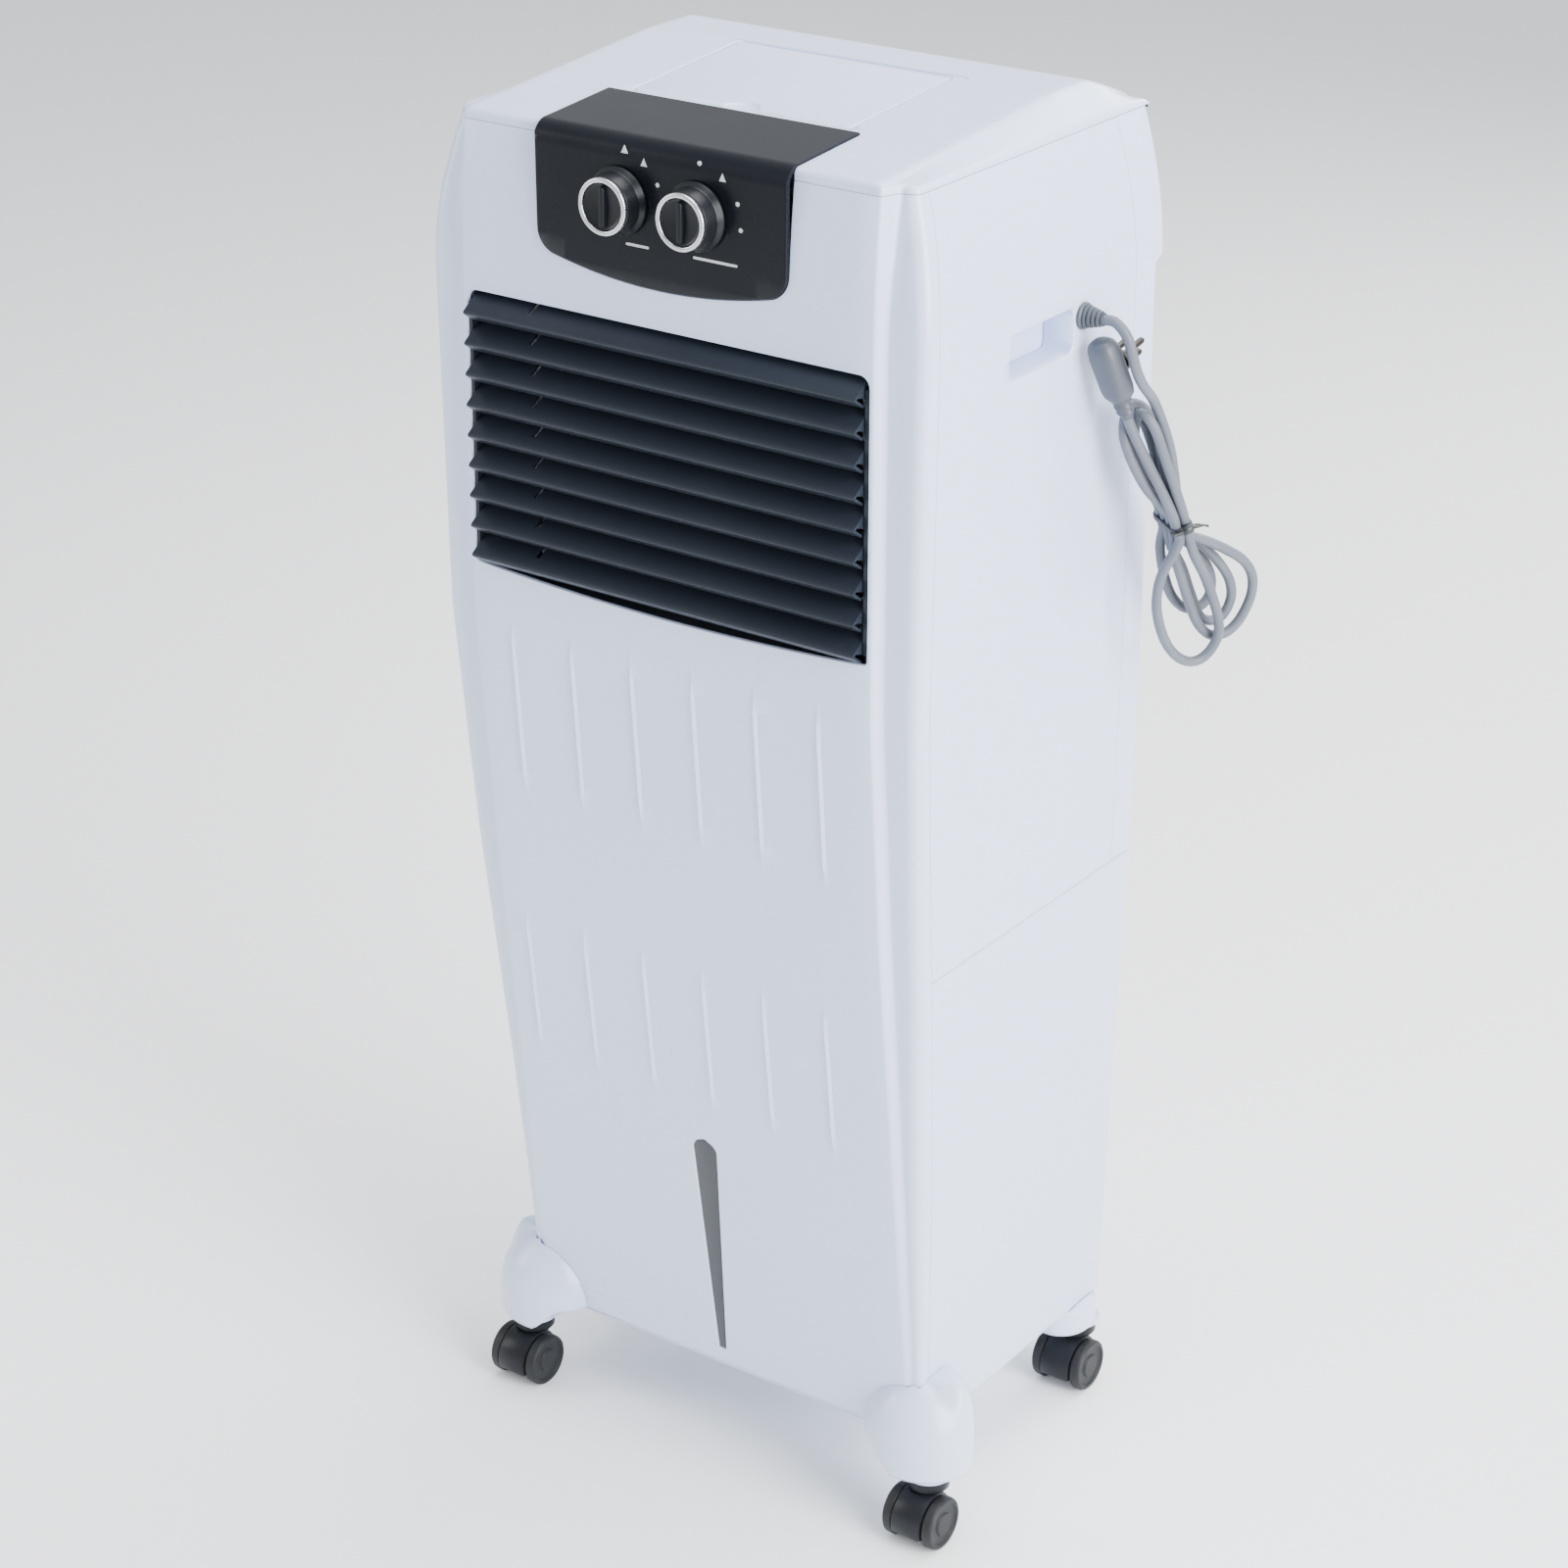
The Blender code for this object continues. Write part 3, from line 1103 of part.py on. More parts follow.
def build_drain_plug():
    """Push-in drain plug low on the tank's back wall; its flange seats on the leaning wall."""
    y = rear_y(DRAIN_Z)
    centre = (DRAIN_X, y, DRAIN_Z)
    flange_r = DRAIN_R + 0.0032
    seat = rear_y(DRAIN_Z - flange_r) - y + GAP
    profile = ((DRAIN_R - 0.002, -0.010), (DRAIN_R, -0.008), (DRAIN_R, seat), (flange_r, seat),
               (flange_r, seat + 0.0024), (DRAIN_GRIP_R, seat + 0.0032), (DRAIN_GRIP_R, DRAIN_OUT_Y - y))
    add_object("drain_plug", turned(profile, centre, (0, 1, 0), 20), SLATE, centre)


# ---- base and casters -----------------------------------------------------------------------
def foot_rings(side, front):
    """Foot: a dome round the casing's corner; its underside slopes down outwards to the caster boss."""
    boss = (FRONT_CASTER_X if front else REAR_CASTER_X, FRONT_CASTER_Y if front else REAR_CASTER_Y)
    dome = (FOOT_X if front else REAR_FOOT_X, FRONT_FOOT_Y if front else REAR_FOOT_Y)
    top = FOOT_TOP_Z if front else BASE_Z + 0.004
    rx, ry = (FOOT_HALF_X, FOOT_HALF_Y) if front else (REAR_FOOT_HALF_X, REAR_FOOT_HALF_Y)
    angles = [math.tau * i / FOOT_SIDES for i in range(FOOT_SIDES)]

    def ring(centre, ax, ay, height):
        points = [(centre[0] + ax * math.cos(a), centre[1] + ay * math.sin(a)) for a in angles]
        return [(side * x, y, height(x)) for x, y in points]

    def under(x):
        rise = FOOT_RISE * max(0.0, boss[0] - BOSS_R - x)
        return min(FOOT_LOW_Z + 0.0035 + rise, BASE_Z - 0.004)

    rings = [ring(boss, BOSS_R, BOSS_R, lambda x: FOOT_LOW_Z)]
    rings.append(ring(boss, BOSS_R, BOSS_R, lambda x: FOOT_LOW_Z + 0.0025))
    rings.append(ring(dome, 0.93 * rx, 0.93 * ry, under))
    rings.append(ring(dome, rx, ry, lambda x: under(x) + 0.005))
    mid = BASE_Z + (0.003 if front else -0.002)
    if not front:
        rings[-1] = ring(dome, rx, ry, lambda x: min(under(x) + 0.005, mid - 0.001))
        rings[-2] = ring(dome, 0.93 * rx, 0.93 * ry, lambda x: min(under(x), mid - 0.006))
    for turn in (0, 30, 55, 74, 86):
        lift, spread = math.sin(math.radians(turn)), math.cos(math.radians(turn)) ** 1.25
        rings.append(ring(dome, rx * spread, ry * spread, lambda x: mid + (top - mid) * lift))
    return rings


def caster_spots():
    return (("front_left", -FRONT_CASTER_X, FRONT_CASTER_Y), ("front_right", FRONT_CASTER_X, FRONT_CASTER_Y),
            ("rear_left", -REAR_CASTER_X, REAR_CASTER_Y), ("rear_right", REAR_CASTER_X, REAR_CASTER_Y))


def casing_plug(margin):
    """Solid of the lower casing, used to trim what fits round it."""
    rings = []
    for z in (BASE_Z - GAP, 0.5 * (BASE_Z + SEAM_Z), SEAM_Z):
        w, back = half_width(z) + margin, rear_y(z) + margin
        y, band = front_y(z) - margin, front_y(z) + band_depth(z) - margin
        rings.append([(-RIDGE_X, y, z), (RIDGE_X, y, z), (RIDGE_X + 0.0025 + margin, band, z),
                      (w - 0.3 * corner_radius(z), band, z), (w, band + corner_radius(z), z),
                      (w, back, z), (-w, back, z), (-w, band + corner_radius(z), z),
                      (-w + 0.3 * corner_radius(z), band, z), (-RIDGE_X - 0.0025 - margin, band, z)])
    bm = bmesh.new()
    add_rings(bm, rings)
    return bm


def build_base():
    """Base moulding: floor plate and the four feet that hold the casters."""
    low = BASE_Z - GAP - PLATE_T
    plate = [(-BASE_HALF_W + 0.014, BASE_FRONT_Y + 0.012), (BASE_HALF_W - 0.014, BASE_FRONT_Y + 0.012),
             (BASE_HALF_W - 0.014, REAR_BASE_Y - 0.014), (-BASE_HALF_W + 0.014, REAR_BASE_Y - 0.014)]
    base = add_object("base_frame", prism(plate, "Z", low, BASE_Z - GAP), WHITE)
    for side in (-1, 1):
        for front in (True, False):
            bm = bmesh.new()
            add_rings(bm, foot_rings(side, front))
            tool = tool_object("foot_%d_%d" % (side, front), bm)
            combine(base, tool, "UNION")
    cut(base, casing_plug(GAP))
    bm = bmesh.new()
    for name, x, y in caster_spots():
        add_turned(bm, ((STEM_R + RUN, -0.02), (STEM_R + RUN, STEM_L + 0.001)), (x, y, FOOT_LOW_Z), (0, 0, 1), 12)
    combine(base, tool_object("sockets_base_frame", bm), "DIFFERENCE")


def build_caster(name, x, y):
    """Twin-wheel caster: hooded body on a swivel stem, and two wheels on one axle."""
    stem_base = FOOT_LOW_Z - 0.0006
    axle = (x, y - TRAIL, WHEEL_RADIUS)
    bm = turned(((0.0105, -0.0130), (0.0105, -0.0092), (0.0145, -0.0090), (0.0145, 0.0), (STEM_R, 0.0), (STEM_R, STEM_L)),
                (x, y, stem_base), (0, 0, 1), 16)
    hood = add_object("caster_hood_" + name, bm, BLACK, (x, y, stem_base))
    outline = arc((axle[1], axle[2]), HOOD_R, 200, -20, 10)
    outline = [(py, max(pz, 0.0110)) for py, pz in outline]
    bm = prism([(py - y, pz - stem_base) for py, pz in outline], "X", -HOOD_HALF_W, HOOD_HALF_W)
    combine(hood, place_tool(bm, "body_" + hood.name, (x, y, stem_base)), "UNION")
    bm = turned(((0.0034, -0.03), (0.0034, 0.03)), (0, axle[1] - y, axle[2] - stem_base), (1, 0, 0), 12)
    combine(hood, place_tool(bm, "axle_hole_" + hood.name, (x, y, stem_base)), "DIFFERENCE")
    wheels = add_object("caster_wheels_" + name, turned(((0.0030, -WHEEL_IN - 0.002), (0.0030, WHEEL_IN + 0.002)),
                                                        axle, (1, 0, 0), 12), RUBBER, axle)
    bm = bmesh.new()
    for side in (-1, 1):
        profile = ((WHEEL_RADIUS - 0.0010, WHEEL_IN), (WHEEL_RADIUS, WHEEL_IN + 0.0012),
                   (WHEEL_RADIUS, WHEEL_IN + WHEEL_W - 0.0025), (WHEEL_RADIUS - 0.0025, WHEEL_IN + WHEEL_W),
                   (0.0080, WHEEL_IN + WHEEL_W))
        add_turned(bm, profile, (0, 0, 0), (side, 0, 0), 20)
    combine(wheels, place_tool(bm, "discs_" + wheels.name, axle), "UNION")


# ---- mains lead -----------------------------------------------------------------------------
def build_gland():
    """Strain relief: a ribbed cone that the lead leaves the side wall through."""
    wall = half_width(GLAND_Z)
    inner = CORD_R + 0.0012
    flange = GLAND_R + 0.0010
    profile = ((inner, -0.0080), (inner, 2 * GAP), (flange, 2 * GAP), (flange, 0.0020), (GLAND_R, 0.0028),
               (CORD_R + 0.0016, GLAND_L))
    add_object("strain_relief", turned(profile, (wall, GLAND_Y, GLAND_Z), (1, 0, 0), 16), GREY)


def off_wall(point):
    """A point given by its distance out from the side wall at the gland."""
    return (half_width(GLAND_Z) + point[0], point[1], point[2])


def hank_frame():
    down = Vector((*HANK_LEAN, -1.0)).normalized()
    across = Vector((*HANK_ACROSS, 0.0))
    across = (across - down * across.dot(down)).normalized()
    return Vector(off_wall(HANK_TOP)), down, across, down.cross(across).normalized()


def build_lead():
    """Mains lead from the strain relief to the top of its hank."""
    top, down, across, _ = hank_frame()
    first = (half_width(GLAND_Z) + GLAND_L + GAP, GLAND_Y, GLAND_Z)
    last = top + across * LEAD_ACROSS - down * GAP
    route = (first,) + tuple(off_wall(p) for p in LEAD_ROUTE) + (tuple(last - down * 0.0080), tuple(last))
    tube_object("power_cord", route, CORD_R, GREY, 0.0070)


def build_hank():
    """Outer shape of the folded lead, and the twist tie round its neck."""
    top, down, across, normal = hank_frame()
    outline = HANK_RIGHT + HANK_LEFT
    bm = bmesh.new()
    add_rings(bm, [[top + down * a + across * b + normal * lift for a, b in outline]
                   for lift in (-HANK_HALF_T, HANK_HALF_T)])
    add_object("cord_hank", bm, GREY)
    middle = 0.5 * (HANK_RIGHT[1][1] + HANK_LEFT[-2][1])
    half = 0.5 * (HANK_RIGHT[1][1] - HANK_LEFT[-2][1])

    def band(extra, reach):
        a, b = half + extra, HANK_HALF_T + extra
        corners = ((a, -b), (a, b), (-a, b), (-a, -b))
        bm = bmesh.new()
        add_rings(bm, [[top + down * (TIE_DOWN + lift) + across * (middle + p) + normal * q for p, q in corners]
                       for lift in (-reach, reach)])
        return bm

    tie = add_object("cord_tie", band(TIE_T, 0.5 * TIE_W), RUBBER)
    cut(tie, band(GAP, TIE_W))


def build_plug():
    """Right-angled mains plug at the top of the hank, with two live pins and an earth pin."""
    top, down, across, _ = hank_frame()
    length = PLUG_STATIONS[-1][0]
    head = Vector(off_wall(PLUG_TOP))
    tail = top + across * PLUG_ACROSS - down * GAP
    axis = (tail - head).normalized()
    ahead = Vector(PIN_RUN)
    ahead = (ahead - axis * ahead.dot(axis)).normalized()
    aside = axis.cross(ahead)
    rings = []
    for along, wide, deep in PLUG_STATIONS:
        centre = head.lerp(tail, along / length)
        turn = axis.lerp(down, max(0.0, along / length - 0.5) * 2).normalized()
        u = (aside - turn * aside.dot(turn)).normalized()
        v = turn.cross(u)
        rings.append([centre + u * (wide * math.cos(a)) + v * (deep * math.sin(a))
                      for a in [math.tau * i / 16 for i in range(16)]])
    bm = bmesh.new()
    add_rings(bm, rings)
    add_object("plug", bm, GREY)
    face = head.lerp(tail, PIN_DOWN / length) + ahead * (PLUG_STATIONS[2][2] + GAP)
    pins = add_object("plug_pins", turned(((0.0088, 0.0), (0.0088, 0.0012)), face, ahead, 16), BRASS)
    bm = bmesh.new()
    for wide, low in ((-0.0055, -0.0030), (0.0055, -0.0030), (0.0, 0.0055)):
        add_turned(bm, ((PLUG_PIN_R, 0.0), (PLUG_PIN_R, PLUG_PIN_L - 0.002), (PLUG_PIN_R - 0.001, PLUG_PIN_L)),
                   face + aside * wide + axis * low + ahead * 0.0006, ahead, 10)
    fuse(pins, bm)


def main():
    clear_scene()
    build_front_panel()
    build_side_panel(-1)
    build_side_panel(1)
    build_rear_casing()
    build_top_cover()
    build_lid()
    build_ice_tray()
    build_fascia()
    build_knob("speed_knob", -KNOB_X)
    build_knob("cooling_knob", KNOB_X)
    build_switches()
    build_outlet_frame()
    for index in range(LOUVRES):
        build_louvre(index)
    build_louvre_link()
    build_duct()
    for index in range(VANES):
        build_vane(index)
    build_vane_link()
    build_swing_motor()
    build_blower()
    build_wheel()
    build_motor()
    build_pad()
    build_tank()
    build_pump()
    build_hose_and_distributor()
    build_level_window()
    build_float()
    build_drain_plug()
    build_base()
    for spot in caster_spots():
        build_caster(*spot)
    build_gland()
    build_lead()
    build_hank()
    build_plug()


main()
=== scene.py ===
"""Tower evaporative cooler on casters: white moulded casing, slate louvres, black fascia and a grey mains lead."""
import math

import bmesh
import bpy
from mathutils import Matrix, Vector


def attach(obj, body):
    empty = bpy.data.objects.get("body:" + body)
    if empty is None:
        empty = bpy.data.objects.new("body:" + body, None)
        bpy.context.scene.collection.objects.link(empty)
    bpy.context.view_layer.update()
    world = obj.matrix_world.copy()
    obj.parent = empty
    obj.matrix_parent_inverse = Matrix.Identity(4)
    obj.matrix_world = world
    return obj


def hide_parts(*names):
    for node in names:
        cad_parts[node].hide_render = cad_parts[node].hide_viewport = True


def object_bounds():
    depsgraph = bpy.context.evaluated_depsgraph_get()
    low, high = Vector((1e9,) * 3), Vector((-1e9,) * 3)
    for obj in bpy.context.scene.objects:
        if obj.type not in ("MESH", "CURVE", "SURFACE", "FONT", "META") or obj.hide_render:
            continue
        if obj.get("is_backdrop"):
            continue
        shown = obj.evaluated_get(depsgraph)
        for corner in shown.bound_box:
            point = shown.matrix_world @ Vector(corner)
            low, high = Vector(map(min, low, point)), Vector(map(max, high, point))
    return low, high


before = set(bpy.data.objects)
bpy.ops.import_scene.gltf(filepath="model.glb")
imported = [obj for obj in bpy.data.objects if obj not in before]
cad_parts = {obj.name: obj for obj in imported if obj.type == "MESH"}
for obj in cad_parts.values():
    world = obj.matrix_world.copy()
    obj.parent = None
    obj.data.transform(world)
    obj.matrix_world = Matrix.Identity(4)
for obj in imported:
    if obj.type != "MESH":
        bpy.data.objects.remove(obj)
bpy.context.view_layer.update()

# ---- Camera and studio ----------------------------------------------------------------------
# A white room with a large softbox to the machine's right, a weaker one to its left and one
# overhead, over a pale seamless floor.
VIEW_AZIMUTH = math.radians(35.5)
VIEW_ELEVATION = math.radians(24.6)
EYE = (1.28953, -1.82215, 1.49831)


def look_along(item, back):
    item.rotation_mode = "QUATERNION"
    item.rotation_quaternion = (-back).to_track_quat("-Z", "Y")


def place_item(name, data, location=(0.0, 0.0, 0.0)):
    item = bpy.data.objects.new(name, data)
    item.location = location
    bpy.context.scene.collection.objects.link(item)
    return item


camera_lens = bpy.data.cameras.new("camera")
camera_lens.lens = 85.3
camera_lens.sensor_width = 36.0
camera_lens.clip_start = 0.05
camera_lens.clip_end = 60.0
camera = place_item("camera", camera_lens, EYE)
look_along(camera, Vector((math.sin(VIEW_AZIMUTH) * math.cos(VIEW_ELEVATION),
                           -math.cos(VIEW_AZIMUTH) * math.cos(VIEW_ELEVATION), math.sin(VIEW_ELEVATION))))
bpy.context.scene.camera = camera


def softbox(name, location, size, power, colour):
    lamp = bpy.data.lights.new(name, "AREA")
    lamp.shape = "RECTANGLE"
    lamp.size, lamp.size_y = size
    lamp.energy = power
    lamp.color = colour
    item = place_item(name, lamp, location)
    look_along(item, Vector(location) - Vector((0.0, 0.0, 0.45)))


softbox("softbox_right", (2.5, -0.5, 1.6), (1.5, 2.2), 190.0, (0.97, 0.985, 1.0))
softbox("softbox_left", (-2.4, -1.5, 1.4), (1.0, 1.8), 34.0, (0.98, 0.99, 1.0))
softbox("softbox_top", (0.3, 0.4, 3.0), (1.8, 1.8), 82.0, (0.99, 0.995, 1.0))
softbox("softbox_back", (0.3, 2.8, 1.9), (2.0, 1.6), 70.0, (0.98, 0.99, 1.0))

room = bpy.data.worlds.new("white_room")
room.use_nodes = True
room.node_tree.nodes["Background"].inputs["Color"].default_value = (0.93, 0.96, 1.0, 1.0)
room.node_tree.nodes["Background"].inputs["Strength"].default_value = 0.95
bpy.context.scene.world = room


# ---- Mains lead -----------------------------------------------------------------------------
# Three-core PVC flex, moulded to its plug. It leaves the right side through a ribbed strain
# relief and hangs there as it was packed: folded into a hank, with a twist tie round its neck.
CORD_D = 0.0066
WALL_X = 0.18488
GLAND = Vector((WALL_X, 0.0370, 0.8225))
HANK_TOP = Vector((WALL_X + 0.0306, 0.0590, 0.7625))
HANK_DOWN = Vector((0.0573, 0.3822, -1.0)).normalized()
HANK_ACROSS = Vector((0.5000, 0.8660, 0.0))
HANK_ACROSS = (HANK_ACROSS - HANK_DOWN * HANK_ACROSS.dot(HANK_DOWN)).normalized()
HANK_OUT = HANK_DOWN.cross(HANK_ACROSS).normalized()
NECK_DOWN = 0.0875
NECK_MIDDLE = 0.0035
NECK_RIGHT, NECK_LEFT = 0.0069, 0.0001


class Signal:
    """A shader output that can stand in a Python expression."""

    def __init__(self, finish, socket):
        self.finish = finish
        self.socket = socket

    def math(self, operation, first, second=0.0):
        return self.finish.node("Math", {"operation": operation}, (first, second))

    def __add__(self, other):
        return self.math("ADD", self, other)

    def __sub__(self, other):
        return self.math("SUBTRACT", self, other)

    def __rsub__(self, other):
        return self.math("SUBTRACT", other, self)

    def __mul__(self, other):
        return self.math("MULTIPLY", self, other)

    __radd__ = __add__
    __rmul__ = __mul__

    def clamped(self):
        return self.finish.node("Clamp", {}, (self, 0.0, 1.0))


class Finish:
    """A node material built round one Principled shader."""

    def __init__(self, name, **constants):
        self.material = bpy.data.materials.new(name)
        self.material.use_nodes = True
        self.tree = self.material.node_tree
        self.shader = self.tree.nodes["Principled BSDF"]
        self.place = self.node("TexCoord", output="Object")
        for socket, value in constants.items():
            self.set(socket.replace("_", " "), value)

    def feed(self, socket, value):
        if isinstance(value, Signal):
            self.tree.links.new(value.socket, socket)
        elif socket.type == "RGBA" and len(value) == 3:
            socket.default_value = (*value, 1.0)
        else:
            socket.default_value = value

    def node(self, kind, settings=None, inputs=(), output=0):
        made = self.tree.nodes.new("ShaderNode" + kind)
        for key, value in (settings or {}).items():
            setattr(made, key, value)
        pairs = inputs.items() if isinstance(inputs, dict) else enumerate(inputs)
        for key, value in pairs:
            self.feed(made.inputs[key], value)
        return Signal(self, made.outputs[output])

    def set(self, socket, value):
        self.feed(self.shader.inputs[socket], value)

    def noise(self, scale, detail=2.0, stretch=None):
        where = self.place
        if stretch:
            where = self.node("Mapping", {}, {"Vector": where, "Scale": stretch})
        return self.node("TexNoise", {}, {"Vector": where, "Scale": scale, "Detail": detail})

    def mix(self, factor, first, second):
        return self.node("Mix", {"data_type": "RGBA"}, {0: factor, 6: first, 7: second}, output=2)

    def height(self):
        """Height above the floor in metres."""
        return self.node("SeparateXYZ", {}, (self.place,), output="Z")

    def bump(self, relief, depth, strength=1.0):
        """Surface relief: relief runs from 0 to 1 over depth metres."""
        self.set("Normal", self.node("Bump", {}, {"Height": relief, "Distance": depth, "Strength": strength},
                                     output="Normal"))


LEAD_GREY = Finish("lead_grey", Specular_IOR_Level=0.4)
lead_tone = LEAD_GREY.noise(30.0, 4.0)
LEAD_GREY.set("Base Color", LEAD_GREY.mix(lead_tone, (0.085, 0.095, 0.118), (0.150, 0.163, 0.190)))
LEAD_GREY.set("Roughness", (LEAD_GREY.noise(90.0, 2.0) - 0.5) * 0.2 + 0.46)
LEAD_GREY.bump(LEAD_GREY.noise(500.0, 3.0), 0.00012, 0.5)
LEAD_GREY = LEAD_GREY.material


def hank_point(down, across, out=0.0):
    return HANK_TOP + HANK_DOWN * down + HANK_ACROSS * across + HANK_OUT * out


def smooth_route(points, spacing):
    """Points at about equal steps along a smooth curve through the given points."""
    nodes = [Vector(p) for p in points]
    nodes = [2 * nodes[0] - nodes[1]] + nodes + [2 * nodes[-1] - nodes[-2]]
    fine = []
    for a, b, c, d in zip(nodes, nodes[1:], nodes[2:], nodes[3:]):
        for step in range(24):
            t = step / 24
            fine.append(0.5 * (2 * b + (c - a) * t + (2 * a - 5 * b + 4 * c - d) * t * t
                               + (3 * b - a - 3 * c + d) * t ** 3))
    fine.append(nodes[-2])
    length = sum((q - p).length for p, q in zip(fine, fine[1:]))
    count = max(2, round(length / spacing))
    picked, travelled, target = [fine[0]], 0.0, length / count
    for p, q in zip(fine, fine[1:]):
        travelled += (q - p).length
        if travelled >= target - 1e-7 and len(picked) < count:
            picked.append(q)
            target += length / count
    return picked + [fine[-1]], length


def neck(side, out):
    """A strand's way through the tie."""
    return [hank_point(NECK_DOWN + step, side, out) for step in (-0.010, 0.0, 0.010)]


def loop_below(right, bottom, left, out_right, out_left):
    """A loop under the tie: down its right side, round its bottom, and up its left side."""
    stations = right + bottom + left
    count = len(stations) - 1
    return [hank_point(a, b, out_right + (out_left - out_right) * i / count) for i, (a, b) in enumerate(stations)]


def lead_line():
    """Centreline: strain relief, lead, four loops through the tie with three folds above it, and the plug."""
    line = [GLAND + Vector((0.0080, 0.0, 0.0)), GLAND + Vector((0.0155, 0.0, 0.0)),
            GLAND + Vector((0.0231, 0.0, -0.0003)), GLAND + Vector((0.0306, 0.0008, -0.0078)),
            GLAND + Vector((0.0341, 0.0025, -0.0195)), GLAND + Vector((0.0353, 0.0070, -0.0315)),
            GLAND + Vector((0.0359, 0.0145, -0.0420)), hank_point(0.0, 0.0095, 0.0)]
    line += [hank_point(0.030, 0.0118, 0.0015), hank_point(0.055, 0.0098, 0.0030)]
    line += neck(NECK_RIGHT, 0.0034)
    line += loop_below([(0.1130, 0.0220), (0.1260, 0.0330), (0.1400, 0.0425), (0.1550, 0.0462), (0.1700, 0.0420)],
                       [(0.1830, 0.0310), (0.1875, 0.0200), (0.1835, 0.0095)],
                       [(0.1700, 0.0030), (0.1500, 0.0005), (0.1290, -0.0006), (0.1120, -0.0012)], 0.0034, 0.0010)
    line += neck(NECK_LEFT, 0.0034)[::-1]
    line += [hank_point(0.055, -0.0092, 0.0010), hank_point(0.030, -0.0135, -0.0020),
             hank_point(0.012, -0.0120, -0.0060), hank_point(0.002, -0.0015, -0.0125),
             hank_point(0.012, 0.0085, -0.0160), hank_point(0.030, 0.0115, -0.0130),
             hank_point(0.055, 0.0085, -0.0070)]
    line += neck(NECK_RIGHT, -0.0034)
    line += loop_below([(0.1110, 0.0160), (0.1240, 0.0228), (0.1410, 0.0300), (0.1560, 0.0335), (0.1690, 0.0320)],
                       [(0.1785, 0.0250), (0.1800, 0.0170)],
                       [(0.1720, 0.0085), (0.1520, 0.0060), (0.1300, 0.0045), (0.1120, 0.0010)], -0.0040, -0.0062)
    line += neck(NECK_LEFT, -0.0034)[::-1]
    line += [hank_point(0.055, -0.0060, -0.0075), hank_point(0.032, -0.0085, -0.0110),
             hank_point(0.020, -0.0055, -0.0150), hank_point(0.013, 0.0020, -0.0200),
             hank_point(0.022, 0.0080, -0.0225), hank_point(0.040, 0.0090, -0.0190),
             hank_point(0.060, 0.0078, -0.0140)]
    line += neck(NECK_RIGHT, -0.0102)
    line += loop_below([(0.1120, 0.0110), (0.1260, 0.0185), (0.1420, 0.0235), (0.1560, 0.0240)],
                       [(0.1670, 0.0190), (0.1700, 0.0100), (0.1640, 0.0010)],
                       [(0.1500, -0.0045), (0.1300, -0.0055), (0.1120, -0.0035)], -0.0110, -0.0135)
    line += neck(NECK_LEFT, -0.0102)[::-1]
    line += [hank_point(0.060, -0.0035, -0.0125), hank_point(0.036, -0.0045, -0.0135),
             hank_point(0.014, -0.0022, -0.0095), hank_point(0.004, 0.0008, -0.0020),
             hank_point(0.012, 0.0030, 0.0060), hank_point(0.034, 0.0040, 0.0090),
             hank_point(0.060, 0.0058, 0.0098)]
    line += neck(NECK_RIGHT, 0.0102)
    line += loop_below([(0.1120, 0.0080), (0.1300, 0.0115), (0.1500, 0.0135), (0.1680, 0.0140)],
                       [(0.1810, 0.0105), (0.1895, 0.0010), (0.1900, -0.0090), (0.1820, -0.0180)],
                       [(0.1680, -0.0238), (0.1500, -0.0258), (0.1320, -0.0240), (0.1150, -0.0165)], 0.0102, 0.0102)
    line += neck(NECK_LEFT, 0.0102)[::-1]
    line += [hank_point(0.060, -0.0020, 0.0080), hank_point(0.032, -0.0062, 0.0035),
             hank_point(0.010, -0.0092, 0.0),
             hank_point(0.0, -0.0100, 0.0), hank_point(-0.006, -0.0104, 0.0)]
    return line


lead_points, lead_length = smooth_route(lead_line(), 0.0035)
lead_curve = bpy.data.curves.new("mains_lead", "CURVE")
lead_curve.dimensions = "3D"
lead_curve.bevel_depth = 0.5 * CORD_D
lead_curve.bevel_resolution = 4
lead_curve.use_fill_caps = True
lead_spline = lead_curve.splines.new("POLY")
lead_spline.points.add(len(lead_points) - 1)
for lead_spot, lead_place in zip(lead_spline.points, lead_points):
    lead_spot.co = (*lead_place, 1.0)
lead_curve.materials.append(LEAD_GREY)
lead = place_item("mains_lead", lead_curve)
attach(lead, "casing")
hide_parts("power_cord", "cord_hank")


def moulded(name, dark, light, roughness, grain=900.0, depth=0.00006, drift=7.0, **constants):
    """Moulded plastic: slow drift of tone, faint flow streaks in the sheen, and a fine etched grain."""
    finish = Finish(name, **constants)
    slow = finish.noise(drift, 3.0)
    speck = finish.noise(grain * 0.6, 2.0)
    finish.set("Base Color", finish.mix((slow * 0.8 + speck * 0.35 - 0.1).clamped(), dark, light))
    streak = finish.noise(26.0, 4.0, (1.0, 1.0, 0.25))
    finish.set("Roughness", (streak - 0.5) * 0.16 + (speck - 0.5) * 0.06 + roughness)
    finish.bump(finish.noise(grain, 3.0) * 0.6 + finish.noise(60.0, 2.0) * 0.4, depth, 0.5)
    return finish


